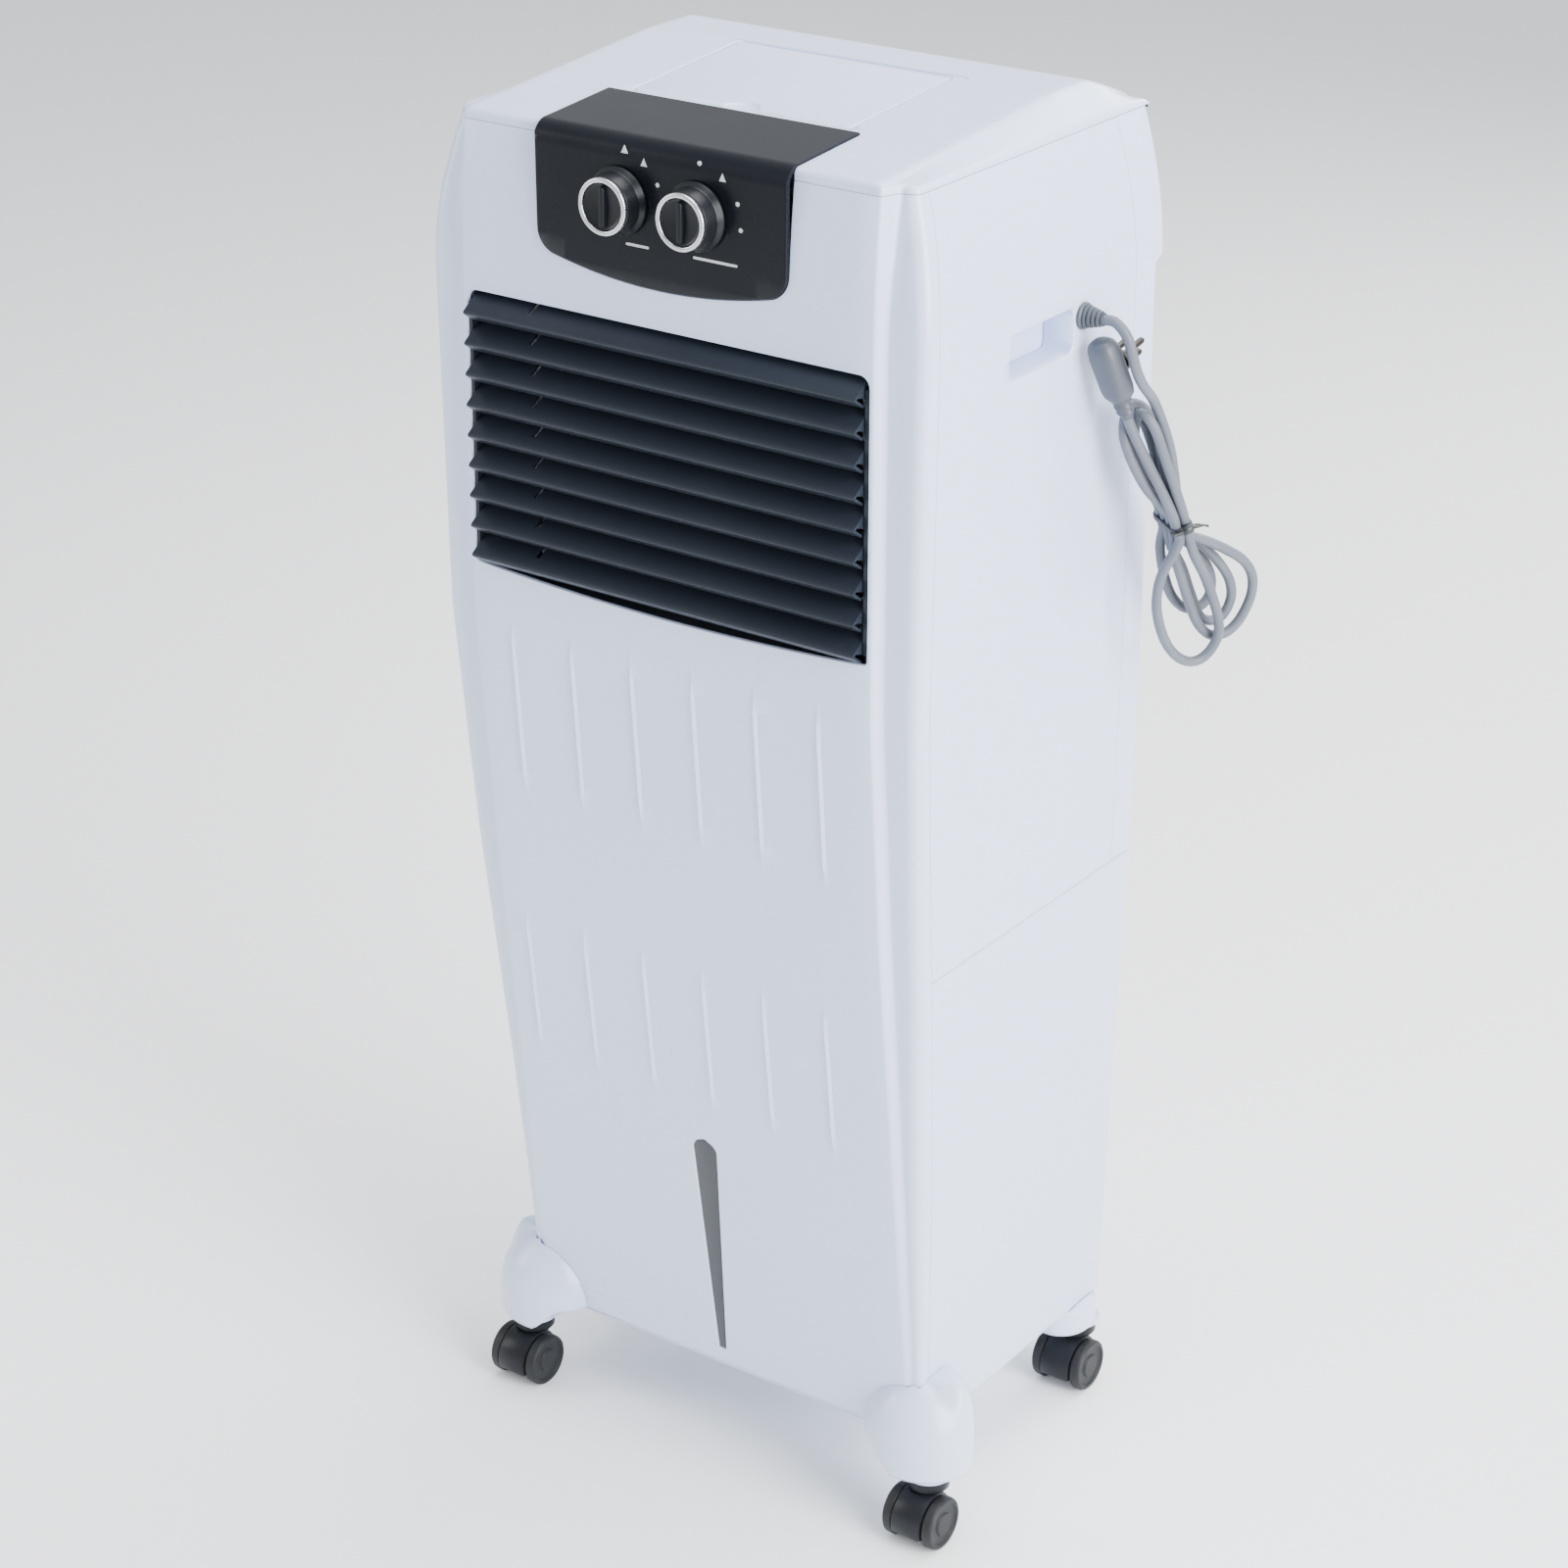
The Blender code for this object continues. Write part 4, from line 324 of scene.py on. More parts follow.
def turned(profile, centre, axis, steps=64, ring=False):
    """Spin a (radius, along) profile about an axis through centre; ring closes the profile on itself."""
    bm = bmesh.new()
    frame_turn = Vector((0, 0, 1)).rotation_difference(Vector(axis)).to_matrix()
    line = [bm.verts.new(Vector(centre) + frame_turn @ Vector((r, 0, a))) for r, a in profile]
    edges = [bm.edges.new(pair) for pair in zip(line, line[1:])]
    if ring:
        edges.append(bm.edges.new((line[-1], line[0])))
    bmesh.ops.spin(bm, geom=line + edges, cent=centre, axis=axis, angle=math.tau, steps=steps, use_merge=True)
    bmesh.ops.remove_doubles(bm, verts=bm.verts, dist=1e-6)
    bmesh.ops.recalc_face_normals(bm, faces=bm.faces)
    return bm


def blank(bm):
    """A bare object from a bmesh."""
    mesh = bpy.data.meshes.new("blank")
    bm.to_mesh(mesh)
    bm.free()
    return place_item("blank", mesh)


def fit(item, name, material, body, slot, *stands_for, smooth=35.0):
    """Finish a piece: name it, give it its material, and hang it on its body."""
    if isinstance(item, bmesh.types.BMesh):
        item = blank(item)
    item.name = name
    item.data.name = name
    item.data.materials.clear()
    item.data.materials.append(material)
    item.data.shade_smooth()
    item.data.set_sharp_from_angle(angle=math.radians(smooth))
    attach(item, body)
    if stands_for:
        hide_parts(*stands_for)
    return item


# The strain relief is moulded on the lead: a flange that bears on the wall and a ribbed taper.
relief = [(0.0, -0.0080), (0.0062, -0.0080), (0.0062, 0.0006), (0.0085, 0.0006), (0.0085, 0.0018), (0.0076, 0.0026)]
for rib in range(4):
    rib_r, rib_at = 0.0071 - 0.0007 * rib, 0.0040 + 0.0028 * rib
    relief += [(rib_r - 0.0014, rib_at - 0.0010), (rib_r, rib_at - 0.0006), (rib_r, rib_at + 0.0006),
               (rib_r - 0.0014, rib_at + 0.0010)]
relief += [(0.0042, 0.0150), (0.0036, 0.0150), (0.0, 0.0145)]
BOOT_GREY = moulded("boot_grey", (0.045, 0.052, 0.066), (0.075, 0.084, 0.102), 0.45, 900.0, 0.0001).material
fit(turned(relief, GLAND, (1, 0, 0), 40), "strain_relief_boot", BOOT_GREY, "casing", "lead_grey", "strain_relief",
    smooth=50.0)


def loft(rings):
    """A closed solid drawn through rings of points."""
    bm = bmesh.new()
    bmesh.ops.create_circle(bm, segments=len(rings[0]), radius=1.0)
    bm.verts.ensure_lookup_table()
    ring = list(bm.verts)
    edges = list(bm.edges)
    for vert, point in zip(ring, rings[0]):
        vert.co = point
    for points in rings[1:]:
        made = bmesh.ops.extrude_edge_only(bm, edges=edges)["geom"]
        fresh = {item for item in made if isinstance(item, bmesh.types.BMVert)}
        ring = [next(e.other_vert(v) for e in v.link_edges if e.other_vert(v) in fresh) for v in ring]
        edges = [item for item in made if isinstance(item, bmesh.types.BMEdge)
                 and item.verts[0] in fresh and item.verts[1] in fresh]
        for vert, point in zip(ring, points):
            vert.co = point
    bmesh.ops.holes_fill(bm, edges=bm.edges, sides=0)
    bmesh.ops.recalc_face_normals(bm, faces=bm.faces)
    return bm


def joined(*parts):
    """Several closed bodies in one mesh."""
    bm = bmesh.new()
    for part in parts:
        scratch = bpy.data.meshes.new("scratch")
        part.to_mesh(scratch)
        part.free()
        bm.from_mesh(scratch)
        bpy.data.meshes.remove(scratch)
    return bm


# The plug is over-moulded and right-angled, with a ribbed neck, two line pins and an earth pin.
plug_head = Vector((WALL_X + 0.0141, 0.0345, 0.8100))
plug_tail = hank_point(-0.0003, -0.0100)
plug_axis = (plug_tail - plug_head).normalized()
pin_run = Vector((0.2000, 1.0000, 0.1200))
pin_run = (pin_run - plug_axis * pin_run.dot(plug_axis)).normalized()
plug_side = plug_axis.cross(pin_run)
# distance down the plug, half width, half depth
PLUG_STATIONS = ((0.0, 0.0040, 0.0034), (0.0006, 0.0066, 0.0056), (0.0022, 0.0086, 0.0072),
                 (0.0050, 0.0098, 0.0082), (0.0100, 0.0105, 0.0088), (0.0200, 0.0103, 0.0087),
                 (0.0310, 0.0101, 0.0086), (0.0350, 0.0092, 0.0080), (0.0370, 0.0078, 0.0070),
                 (0.0380, 0.0066, 0.0060), (0.0390, 0.0066, 0.0060), (0.0396, 0.0056, 0.0052),
                 (0.0410, 0.0056, 0.0052), (0.0416, 0.0062, 0.0057), (0.0428, 0.0062, 0.0057),
                 (0.0434, 0.0052, 0.0049), (0.0448, 0.0052, 0.0049), (0.0454, 0.0057, 0.0053),
                 (0.0466, 0.0057, 0.0053), (0.0472, 0.0047, 0.0045), (0.0500, 0.0042, 0.0041))
plug_rings = []
for along, wide, deep in PLUG_STATIONS:
    share = along / PLUG_STATIONS[-1][0]
    centre = plug_head.lerp(plug_tail, share)
    turn = plug_axis.lerp(HANK_DOWN, max(0.0, share - 0.5) * 2).normalized()
    aside = (plug_side - turn * plug_side.dot(turn)).normalized()
    ahead = turn.cross(aside)
    square = 0.75 if along < 0.036 else 1.0
    ring = []
    for step in range(36):
        angle = math.tau * step / 36
        c, s = math.cos(angle), math.sin(angle)
        ring.append(centre + aside * (wide * math.copysign(abs(c) ** square, c))
                    + ahead * (deep * math.copysign(abs(s) ** square, s)))
    plug_rings.append(ring)
plug = fit(loft(plug_rings), "plug_body", BOOT_GREY, "casing", "lead_grey", "plug", smooth=42.0)

PIN_METAL = Finish("pin_brass", Metallic=1.0)
pin_tone = PIN_METAL.noise(160.0, 3.0)
PIN_METAL.set("Base Color", PIN_METAL.mix(pin_tone, (0.050, 0.046, 0.040), (0.120, 0.108, 0.090)))
PIN_METAL.set("Roughness", PIN_METAL.noise(300.0, 3.0) * 0.25 + 0.25)
PIN_METAL.bump(PIN_METAL.noise(900.0, 2.0), 0.00004)
pin_face = plug_head.lerp(plug_tail, 0.0170 / 0.0500) + pin_run * 0.0088
pin_profile = ((0.0, -0.0010), (0.0022, -0.0010), (0.0022, 0.0160), (0.0019, 0.0172), (0.0010, 0.0180),
               (0.0, 0.0182))
pin_plate = ((0.0, -0.0012), (0.0088, -0.0012), (0.0088, 0.0006), (0.0082, 0.0012), (0.0, 0.0012))
pins = [turned(pin_plate, pin_face, pin_run, 40)]
for wide, low in ((-0.0055, -0.0030), (0.0055, -0.0030), (0.0, 0.0055)):
    pins.append(turned(pin_profile, pin_face + plug_side * wide + plug_axis * low + pin_run * 0.0010, pin_run, 20))
plug_metal = fit(joined(*pins), "plug_pin_set", PIN_METAL.material, "casing", "pin_brass", "plug_pins")


def rounded(points, radius, steps=4, closed=False):
    """A flat line with its corners eased."""
    points = [Vector(p) for p in points]
    count = len(points)
    made = []
    for index, here in enumerate(points):
        if not closed and index in (0, count - 1):
            made.append(here)
            continue
        before, after = points[index - 1], points[(index + 1) % count]
        back, ahead = before - here, after - here
        start = here + back.normalized() * min(radius, 0.48 * back.length)
        end = here + ahead.normalized() * min(radius, 0.48 * ahead.length)
        for step in range(steps + 1):
            t = step / steps
            made.append(start * (1 - t) ** 2 + here * (2 * t * (1 - t)) + end * t ** 2)
    return [tuple(p) for p in made]


def sheet(columns, rows, place):
    """A grid laid on a surface: place(column, row) gives each point."""
    bm = bmesh.new()
    last_column, last_row = len(columns) - 1, len(rows) - 1
    bmesh.ops.create_grid(bm, x_segments=last_column, y_segments=last_row, size=0.5)
    for vert in bm.verts:
        column = round((vert.co.x + 0.5) * last_column)
        row = round((vert.co.y + 0.5) * last_row)
        vert.co = place(columns[column], rows[row])
    bmesh.ops.remove_doubles(bm, verts=bm.verts, dist=1e-6)
    return bm


# The tie is a flat black twist tie: one turn round the neck, its ends twisted together.
TIE_BLACK = moulded("tie_black", (0.010, 0.010, 0.012), (0.022, 0.023, 0.026), 0.38, 1500.0, 0.0001).material
neck_hole = rounded([(-0.0033, -0.0137), (0.0103, -0.0137), (0.0103, 0.0137), (-0.0033, 0.0137)], 0.0045, 6, True)
neck_mid = Vector((NECK_MIDDLE, 0.0))
TIE_SECTION = ((0.0, -0.0026), (0.0012, -0.0022), (0.0017, 0.0), (0.0012, 0.0022), (0.0, 0.0026))


def tie_point(column, row):
    b, n = neck_hole[column % len(neck_hole)]
    outward = (Vector((b, n)) - neck_mid).normalized()
    lift, along = TIE_SECTION[row]
    return hank_point(NECK_DOWN + along, b + outward.x * lift, n + outward.y * lift)


tie_band = sheet(list(range(len(neck_hole) + 1)), list(range(len(TIE_SECTION))), tie_point)
bmesh.ops.recalc_face_normals(tie_band, faces=tie_band.faces)
tie_parts = [tie_band]
tie_knot = hank_point(NECK_DOWN, 0.0060, 0.0150)
tie_parts.append(turned(rounded([(0.0, -0.0036), (0.0030, -0.0030), (0.0034, 0.0), (0.0030, 0.0030), (0.0, 0.0036)],
                                0.0012, 3), tie_knot, HANK_ACROSS, 20))
for end_side in (-1.0, 1.0):
    end_rings = []
    for step in range(9):
        t = step / 8
        middle = tie_knot + HANK_ACROSS * (end_side * 0.0030 + 0.0100 * t * end_side) + HANK_DOWN * (
            0.0040 * t * t * end_side) + HANK_OUT * 0.0012 * t
        angle = 2.6 * t * end_side
        flat = HANK_DOWN * math.cos(angle) + HANK_OUT * math.sin(angle)
        thin = HANK_DOWN * -math.sin(angle) + HANK_OUT * math.cos(angle)
        end_rings.append([middle + flat * (0.0017 * math.cos(a)) + thin * (0.0008 * math.sin(a))
                          for a in [math.tau * i / 10 for i in range(10)]])
    tie_parts.append(loft(end_rings))
twist_tie = fit(joined(*tie_parts), "twist_tie", TIE_BLACK, "casing", "tie_black", "cord_tie")

# ---- Front panel ----------------------------------------------------------------------------
# One ABS moulding from the floor of the tank to the top cover: a flat middle field with two
# rows of fine upright ribs, a rounded ridge down each side, and a band set back behind it.

# The casing's outside: sides that flare slightly, a front that leans out and then stands upright.
BASE_Z, SEAM_Z, CREASE_Z, KINK_Z = 0.0715, 0.4255, 0.4435, 0.6055
SHOULDER_Z, EAVES_Z, LIP_Z = 0.8335, 0.9295, 0.8385
RIDGE_X = 0.1555
LIP_Y = 0.1370
GAP = 0.0003
WALL = 0.0025


def at_height(z, stations):
    for (z0, v0), (z1, v1) in zip(stations, stations[1:]):
        if z <= z1:
            return v0 + (v1 - v0) * (z - z0) / (z1 - z0)
    return stations[-1][1]


def draw_in(z):
    return max(0.0, (z - SHOULDER_Z) / (EAVES_Z - SHOULDER_Z)) ** 2


def half_width(z):
    return at_height(z, ((BASE_Z, 0.1620), (SEAM_Z, 0.1775), (KINK_Z, 0.1825), (SHOULDER_Z, 0.1850),
                         (1.0, 0.1850))) - 0.0170 * draw_in(z)


def front_y(z):
    """Front face, with its bends eased over a few millimetres."""
    def sharp(height):
        return at_height(height, ((BASE_Z, -0.0860), (CREASE_Z, -0.1270), (KINK_Z, -0.1400), (1.0, -0.1400)))
    ease = 0.016 if z > 0.52 else 0.002
    return (sharp(z - ease) + 2 * sharp(z) + sharp(z + ease)) / 4 + 0.0060 * draw_in(z)


def rear_y(z):
    return 0.1500 - 0.0210 * (z - BASE_Z) / (SHOULDER_Z - BASE_Z)


def band_depth(z):
    return 0.0065 * min(1.0, (half_width(z) - RIDGE_X) / 0.0220) + 0.0090 * draw_in(z)


def corner_radius(z):
    return min(0.0090, 0.6 * (half_width(z) - RIDGE_X))


def panel_end_y(z):
    return front_y(z) + band_depth(z) + corner_radius(z) + 0.004


def side_end_y(z):
    return rear_y(z) - 0.0300


def crown_z(y):
    return min(0.9505, 0.9365 + 0.0140 * (y + 0.1340) / 0.1820)


def soft_step(t):
    t = max(0.0, min(1.0, t))
    return t * t * (3.0 - 2.0 * t)


def spaced(low, high, count):
    return [low + (high - low) * i / count for i in range(count + 1)]


def heights(low, high, *extra):
    """Levels for a casing sheet: even steps, closer where the shape turns."""
    marks = spaced(low, high, max(2, round((high - low) / 0.016)))
    marks += [CREASE_Z - 0.003, CREASE_Z, CREASE_Z + 0.003, KINK_Z - 0.010, KINK_Z, KINK_Z + 0.010]
    marks += spaced(SHOULDER_Z, EAVES_Z, 14)
    marks += list(extra)
    inside = sorted(set(round(z, 5) for z in marks if low + 0.0004 < z < high - 0.0004))
    return [low] + inside + [high]


def panel_outline(half_w, low, high, sag, low_r, high_r, margin=0.0):
    """Opening outline in X-Z with round corners and a lower edge that bows down."""
    half_w, low, high = half_w + margin, low - margin, high + margin
    low_r, high_r = low_r + margin, max(0.0, high_r + margin)
    right = []
    for step in range(9):
        angle = math.radians(90 * step / 8)
        right.append((half_w - high_r + high_r * math.sin(angle), high - high_r + high_r * math.cos(angle)))
    for step in range(9):
        angle = math.radians(80 * step / 8)
        right.append((half_w - low_r + low_r * math.cos(angle), low + low_r - low_r * math.sin(angle)))
    edge_x, edge_z = right[-1]
    bow = [(x, edge_z - sag * (1.0 - (x / edge_x) ** 2)) for x in spaced(edge_x, -edge_x, 24)[1:-1]]
    return right + bow + [(-x, z) for x, z in reversed(right)]


def fascia_outline(margin=0.0):
    return panel_outline(0.0925, 0.8575, 0.9900, 0.0090, 0.0160, 0.0, margin)


def outlet_outline(margin=0.0):
    return panel_outline(0.1495, 0.6450, 0.8240, 0.0060, 0.0030, 0.0070, margin)


def opening(outline, mouth_y, depth, ease):
    """Cutter for an opening in the front, with a small radius round its mouth."""
    turns = [math.radians(a) for a in (0, 25, 50, 75, 90)]
    steps = [(-0.02, ease)] + [(ease * (1 - math.cos(a)), ease * (1 - math.sin(a))) for a in turns] + [(depth, 0.0)]
    return loft([[(x, mouth_y + y, z) for x, z in outline(margin)] for y, margin in steps])


RIBS = [(x, 0.6135, 0.4805) for x in spaced(-0.1230, 0.1140, 5)]
RIBS += [(x, 0.3985, 0.2765) for x in spaced(-0.1340, 0.1075, 5)]
RIB_HALF, RIB_RISE, RIB_FADE = 0.0020, 0.0016, 0.0240


def rib_height(x, z):
    rise = 0.0
    for rib_x, top, bottom in RIBS:
        across = abs(x - rib_x) / RIB_HALF
        if across < 1.0 and bottom < z < top:
            fade = soft_step((z - bottom) / RIB_FADE) * soft_step((top - z) / RIB_FADE)
            rise = RIB_RISE * (1.0 - across) * fade
    return rise


field = set(spaced(-0.1515, 0.1515, 18))
for rib_x, _, _ in RIBS:
    field |= {rib_x + RIB_HALF * share for share in (-1.0, -0.45, 0.0, 0.45, 1.0)}
field = sorted(round(x, 5) for x in field)
field = [x for i, x in enumerate(field) if i == 0 or x - field[i - 1] > 0.0004]
edge_columns = [("ridge", t) for t in spaced(0.0, 1.0, 10)[1:]] + [("band", 0.5), ("band", 1.0)]
edge_columns += [("corner", t) for t in spaced(0.0, 1.0, 7)[1:]] + [("return", 1.0)]
panel_columns = [(-1, k, t) for k, t in reversed(edge_columns)] + [(0, "field", x) for x in field]
panel_columns += [(1, k, t) for k, t in edge_columns]


def front_point(column, z):
    side, kind, t = column
    y, w, r = front_y(z), half_width(z), corner_radius(z)
    band = band_depth(z)
    ridge_end = min(RIDGE_X + 0.0035, w - r - 0.0006)
    if kind == "field":
        return (t, y - rib_height(t, z), z)
    if kind == "ridge":
        start = RIDGE_X - 0.0040
        return (side * (start + (ridge_end - start) * t), y + band * soft_step(t), z)
    if kind == "band":
        return (side * (ridge_end + (w - r - ridge_end) * t), y + band, z)
    if kind == "corner":
        turn = math.radians(90.0 * t)
        return (side * (w - r + r * math.sin(turn)), y + band + r * (1.0 - math.cos(turn)), z)
    return (side * w, panel_end_y(z), z)


rib_levels = [z for _, top, bottom in (RIBS[0], RIBS[-1]) for end, way in ((top, -1), (bottom, 1))
              for z in [end + way * step for step in (0.0, 0.004, 0.008, 0.012, 0.016, 0.021)]]


def white_plastic():
    """Cool white casing plastic, with a little dust held low down in patches."""
    finish = moulded("white_abs", (0.560, 0.640, 0.850), (0.625, 0.702, 0.900), 0.30, 700.0, 0.00005,
                     Coat_Weight=0.15, Coat_Roughness=0.12)
    slow = finish.noise(5.0, 4.0)
    low = (1.0 - finish.height() * 3.2).clamped() * slow
    speck = finish.noise(420.0, 2.0)
    clean = finish.mix((slow * 0.7 + speck * 0.3).clamped(), (0.560, 0.640, 0.850), (0.625, 0.702, 0.900))
    finish.set("Base Color", finish.mix(low * 0.22, clean, (0.60, 0.60, 0.58)))
    return finish.material


WHITE = white_plastic()
def settle(item):
    """Turn an object's modifiers into its mesh."""
    bpy.context.view_layer.update()
    graph = bpy.context.evaluated_depsgraph_get()
    mesh = bpy.data.meshes.new_from_object(item.evaluated_get(graph), depsgraph=graph)
    item.modifiers.clear()
    old, item.data = item.data, mesh
    bpy.data.meshes.remove(old)
    return item


def combine(item, bm, operation="DIFFERENCE"):
    tool = blank(bm)
    modifier = item.modifiers.new("combine", "BOOLEAN")
    modifier.operation = operation
    modifier.solver = "EXACT"
    modifier.object = tool
    settle(item)
    bpy.data.objects.remove(tool, do_unlink=True)
    return item


def thicken(bm, wall):
    """A sheet with its outside facing out becomes a wall."""
    item = blank(bm)
    modifier = item.modifiers.new("wall", "SOLIDIFY")
    modifier.thickness = wall
    modifier.offset = -1.0
    modifier.use_even_offset = True
    return settle(item)


front = thicken(sheet(panel_columns, heights(BASE_Z, EAVES_Z - GAP, *rib_levels), front_point), WALL)
combine(front, opening(outlet_outline, -0.1402, 0.02, 0.0012))
combine(front, opening(lambda m: fascia_outline(m + GAP), -0.1402, 0.03, 0.0009))


def window_half(z):
    """Half width of the level window: tapered, with a round top."""
    straight = 0.0026 + 0.0069 * (z - 0.0825) / 0.1730
    drop = 0.2555 - z
    if drop < 0.0095:
        straight = min(straight, math.sqrt(max(0.0, 0.0095 ** 2 - (0.0095 - drop) ** 2)))
    return straight


def window_outline(margin):
    levels = spaced(0.0825, 0.2460, 12)
    levels += [0.2555 - 0.0095 * (1 - math.sin(math.radians(a))) for a in (15, 30, 45, 60, 75, 86)]
    right = [(window_half(z) + margin, z) for z in levels]
    right[0] = (right[0][0], right[0][1] - margin)
    right[-1] = (right[-1][0], right[-1][1] + margin)
    return right + [(-x, z) for x, z in reversed(right)]


def window_solid(levels):
    """Solid that follows the leaning front: levels are (distance behind the face, margin)."""
    return loft([[(x, front_y(z) + back, z) for x, z in window_outline(margin)] for back, margin in levels])


combine(front, window_solid(((-0.01, 0.0010), (0.0, 0.0010), (0.0007, 0.0003), (0.02, 0.0003))))
fit(front, "front_shell", WHITE, "casing", "white_abs", "front_panel")

# ---- Side panels ----------------------------------------------------------------------------
# Upper side walls in the same white, each moulded in one piece with its grip pocket.
# A shallow V marks the seam where they meet the tank below.
HANDLE = [(-0.0440, 0.8015), (0.0280, 0.8015), (0.0280, 0.8295), (-0.0440, 0.8295)]


def v_edge(z, low, high=9.0):
    """Set-back of a wall beside a seam."""
    return 0.0009 * max(0.0, 1.0 - (z - low) / 0.0012, 1.0 - (high - z) / 0.0012)


def bar(outline, axis, low, high):
    """Straight bar with a flat outline: X takes (y, z), Y takes (x, z), Z takes (x, y)."""
    order = {"X": lambda a, b, c: (c, a, b), "Y": lambda a, b, c: (a, c, b), "Z": lambda a, b, c: (a, b, c)}[axis]
    return loft([[order(a, b, c) for a, b in outline] for c in (low, high)])


for side, stands in ((1, "side_panel_right"), (-1, "side_panel_left")):
    def side_point(column, z):
        y0, y1 = panel_end_y(z) + GAP, side_end_y(z) - GAP
        return (side * (half_width(z) - v_edge(z, SEAM_Z + GAP)), y0 + (y1 - y0) * column, z)

    columns = spaced(0.0, 1.0, 10) if side > 0 else spaced(1.0, 0.0, 10)
    panel = thicken(sheet(columns, heights(SEAM_Z + GAP, EAVES_Z - GAP, SEAM_Z + 0.0015), side_point), WALL)
    grip_w = half_width(0.8155)
    back, front_x = side * (grip_w - 0.0230), side * grip_w
    pocket = rounded([(y, z) for y, z in HANDLE], 0.0060, 5, True)
    shell = rounded([(y + dy * 0.0025, z + dz * 0.0025) for (y, z), (dy, dz) in
                     zip(HANDLE, ((-1, -1), (1, -1), (1, 1), (-1, 1)))], 0.0080, 5, True)
    combine(panel, bar(shell, "X", *sorted((back - side * WALL, front_x - side * 0.0012))), "UNION")
    rings = []
    for depth, margin in ((0.004, 0.0014), (0.0, 0.0014), (-0.0006, 0.0005), (-0.0014, 0.0), (-0.0210, -0.0006),
                          (-0.0226, -0.0012), (-0.0230, -0.0024)):
        middle_y, middle_z = -0.0080, 0.8155
        rings.append([(front_x + side * depth, y + math.copysign(margin, y - middle_y),
                       z + math.copysign(margin, z - middle_z)) for y, z in pocket])
    combine(panel, loft(rings))
    if side > 0:
        combine(panel, turned(((0.0, -0.02), (0.0058, -0.02), (0.0058, 0.02), (0.0, 0.02)), GLAND, (1, 0, 0), 32))
    fit(panel, "side_shell_" + stands[11:], WHITE, "casing", "white_abs", stands)

# ---- Rear casing ----------------------------------------------------------------------------
# White back moulding that wraps both rear corners and frames the pad's opening.
# A hood lip along its top overhangs the grille.
REAR_R = 0.0090
rear_columns = [(1, "side", t) for t in spaced(0.0, 1.0, 3)] + [(1, "corner", t) for t in spaced(0.0, 1.0, 7)[1:]]
rear_columns += [(1, "back", t) for t in spaced(1.0, -1.0, 24)[1:-1]]
rear_columns += [(-1, "corner", t) for t in spaced(1.0, 0.0, 7)]
rear_columns += [(-1, "side", t) for t in spaced(1.0, 0.0, 3)[1:]]


def rear_point(column, z):
    side, kind, t = column
    w = half_width(z) - v_edge(z, SEAM_Z + GAP)
    back = LIP_Y if z >= LIP_Z - 0.0001 else rear_y(z)
    if kind == "side":
        start = side_end_y(z)
        return (side * w, start + (back - REAR_R - start) * t, z)
    if kind == "corner":
        turn = math.radians(90.0 * t)
        return (side * (w - REAR_R * (1 - math.cos(turn))), back - REAR_R + REAR_R * math.sin(turn), z)
    return ((w - REAR_R) * t, back, z)


rear_levels = heights(SEAM_Z + GAP, EAVES_Z - GAP, SEAM_Z + 0.0015, LIP_Z - 0.0041, LIP_Z, LIP_Z + 0.002)
rear = thicken(sheet(rear_columns, rear_levels, rear_point), WALL)
pad_hole = rounded([(-0.1330, 0.4695), (0.1330, 0.4695), (0.1330, 0.8155), (-0.1330, 0.8155)], 0.0040, 4, True)
combine(rear, bar(pad_hole, "Y", 0.08, 0.18))
fit(rear, "rear_shell", WHITE, "casing", "white_abs", "rear_casing")

# ---- Water tank -----------------------------------------------------------------------------
# The lower casing is the tank itself, moulded in the same white and open at the top.
# It is slimmer at the front, where the front panel covers it.


def tank_ring(z, inset, tuck=0.0):
    w = half_width(z) - inset - tuck
    slim = half_width(z) - WALL - GAP - inset
    front_edge = front_y(z) + 0.0200 + inset
    step = panel_end_y(z) + GAP + inset
    back = rear_y(z) - inset
    half = [(0.0, front_edge), (slim - 0.012, front_edge), (slim - 0.0005, max(step, front_edge - 0.012)),
            (slim, step + 0.0002), (w, step)]
    half += [(w, step + (back - 0.010 - step) * t) for t in (0.25, 0.5, 0.75)]
    for turn in spaced(0.0, 90.0, 8):
        a = math.radians(turn)
        half.append((w - 0.010 * (1 - math.cos(a)), back - 0.010 + 0.010 * math.sin(a)))
    half.append((0.0, back))
    return [(x, y, z) for x, y in half] + [(-x, y, z) for x, y in reversed(half[1:-1])]


tank_levels = [(BASE_Z, 0.0016), (BASE_Z + 0.0012, 0.0004), (BASE_Z + 0.0030, 0.0)]
tank_levels += [(z, 0.0) for z in spaced(0.09, SEAM_Z - 0.0012, 12)] + [(SEAM_Z, 0.0009)]
tank = blank(loft([tank_ring(z, 0.0, tuck) for z, tuck in tank_levels]))
combine(tank, loft([tank_ring(z, 0.0030) for z in (BASE_Z + 0.0030, SEAM_Z + 0.01)]))
combine(tank, turned(((0.0, -0.02), (0.0104, -0.02), (0.0104, 0.02), (0.0, 0.02)), (0.1000, rear_y(0.0975), 0.0975),
                     (0, 1, 0), 40))
fit(tank, "tank_shell", WHITE, "casing", "white_abs", "water_tank")

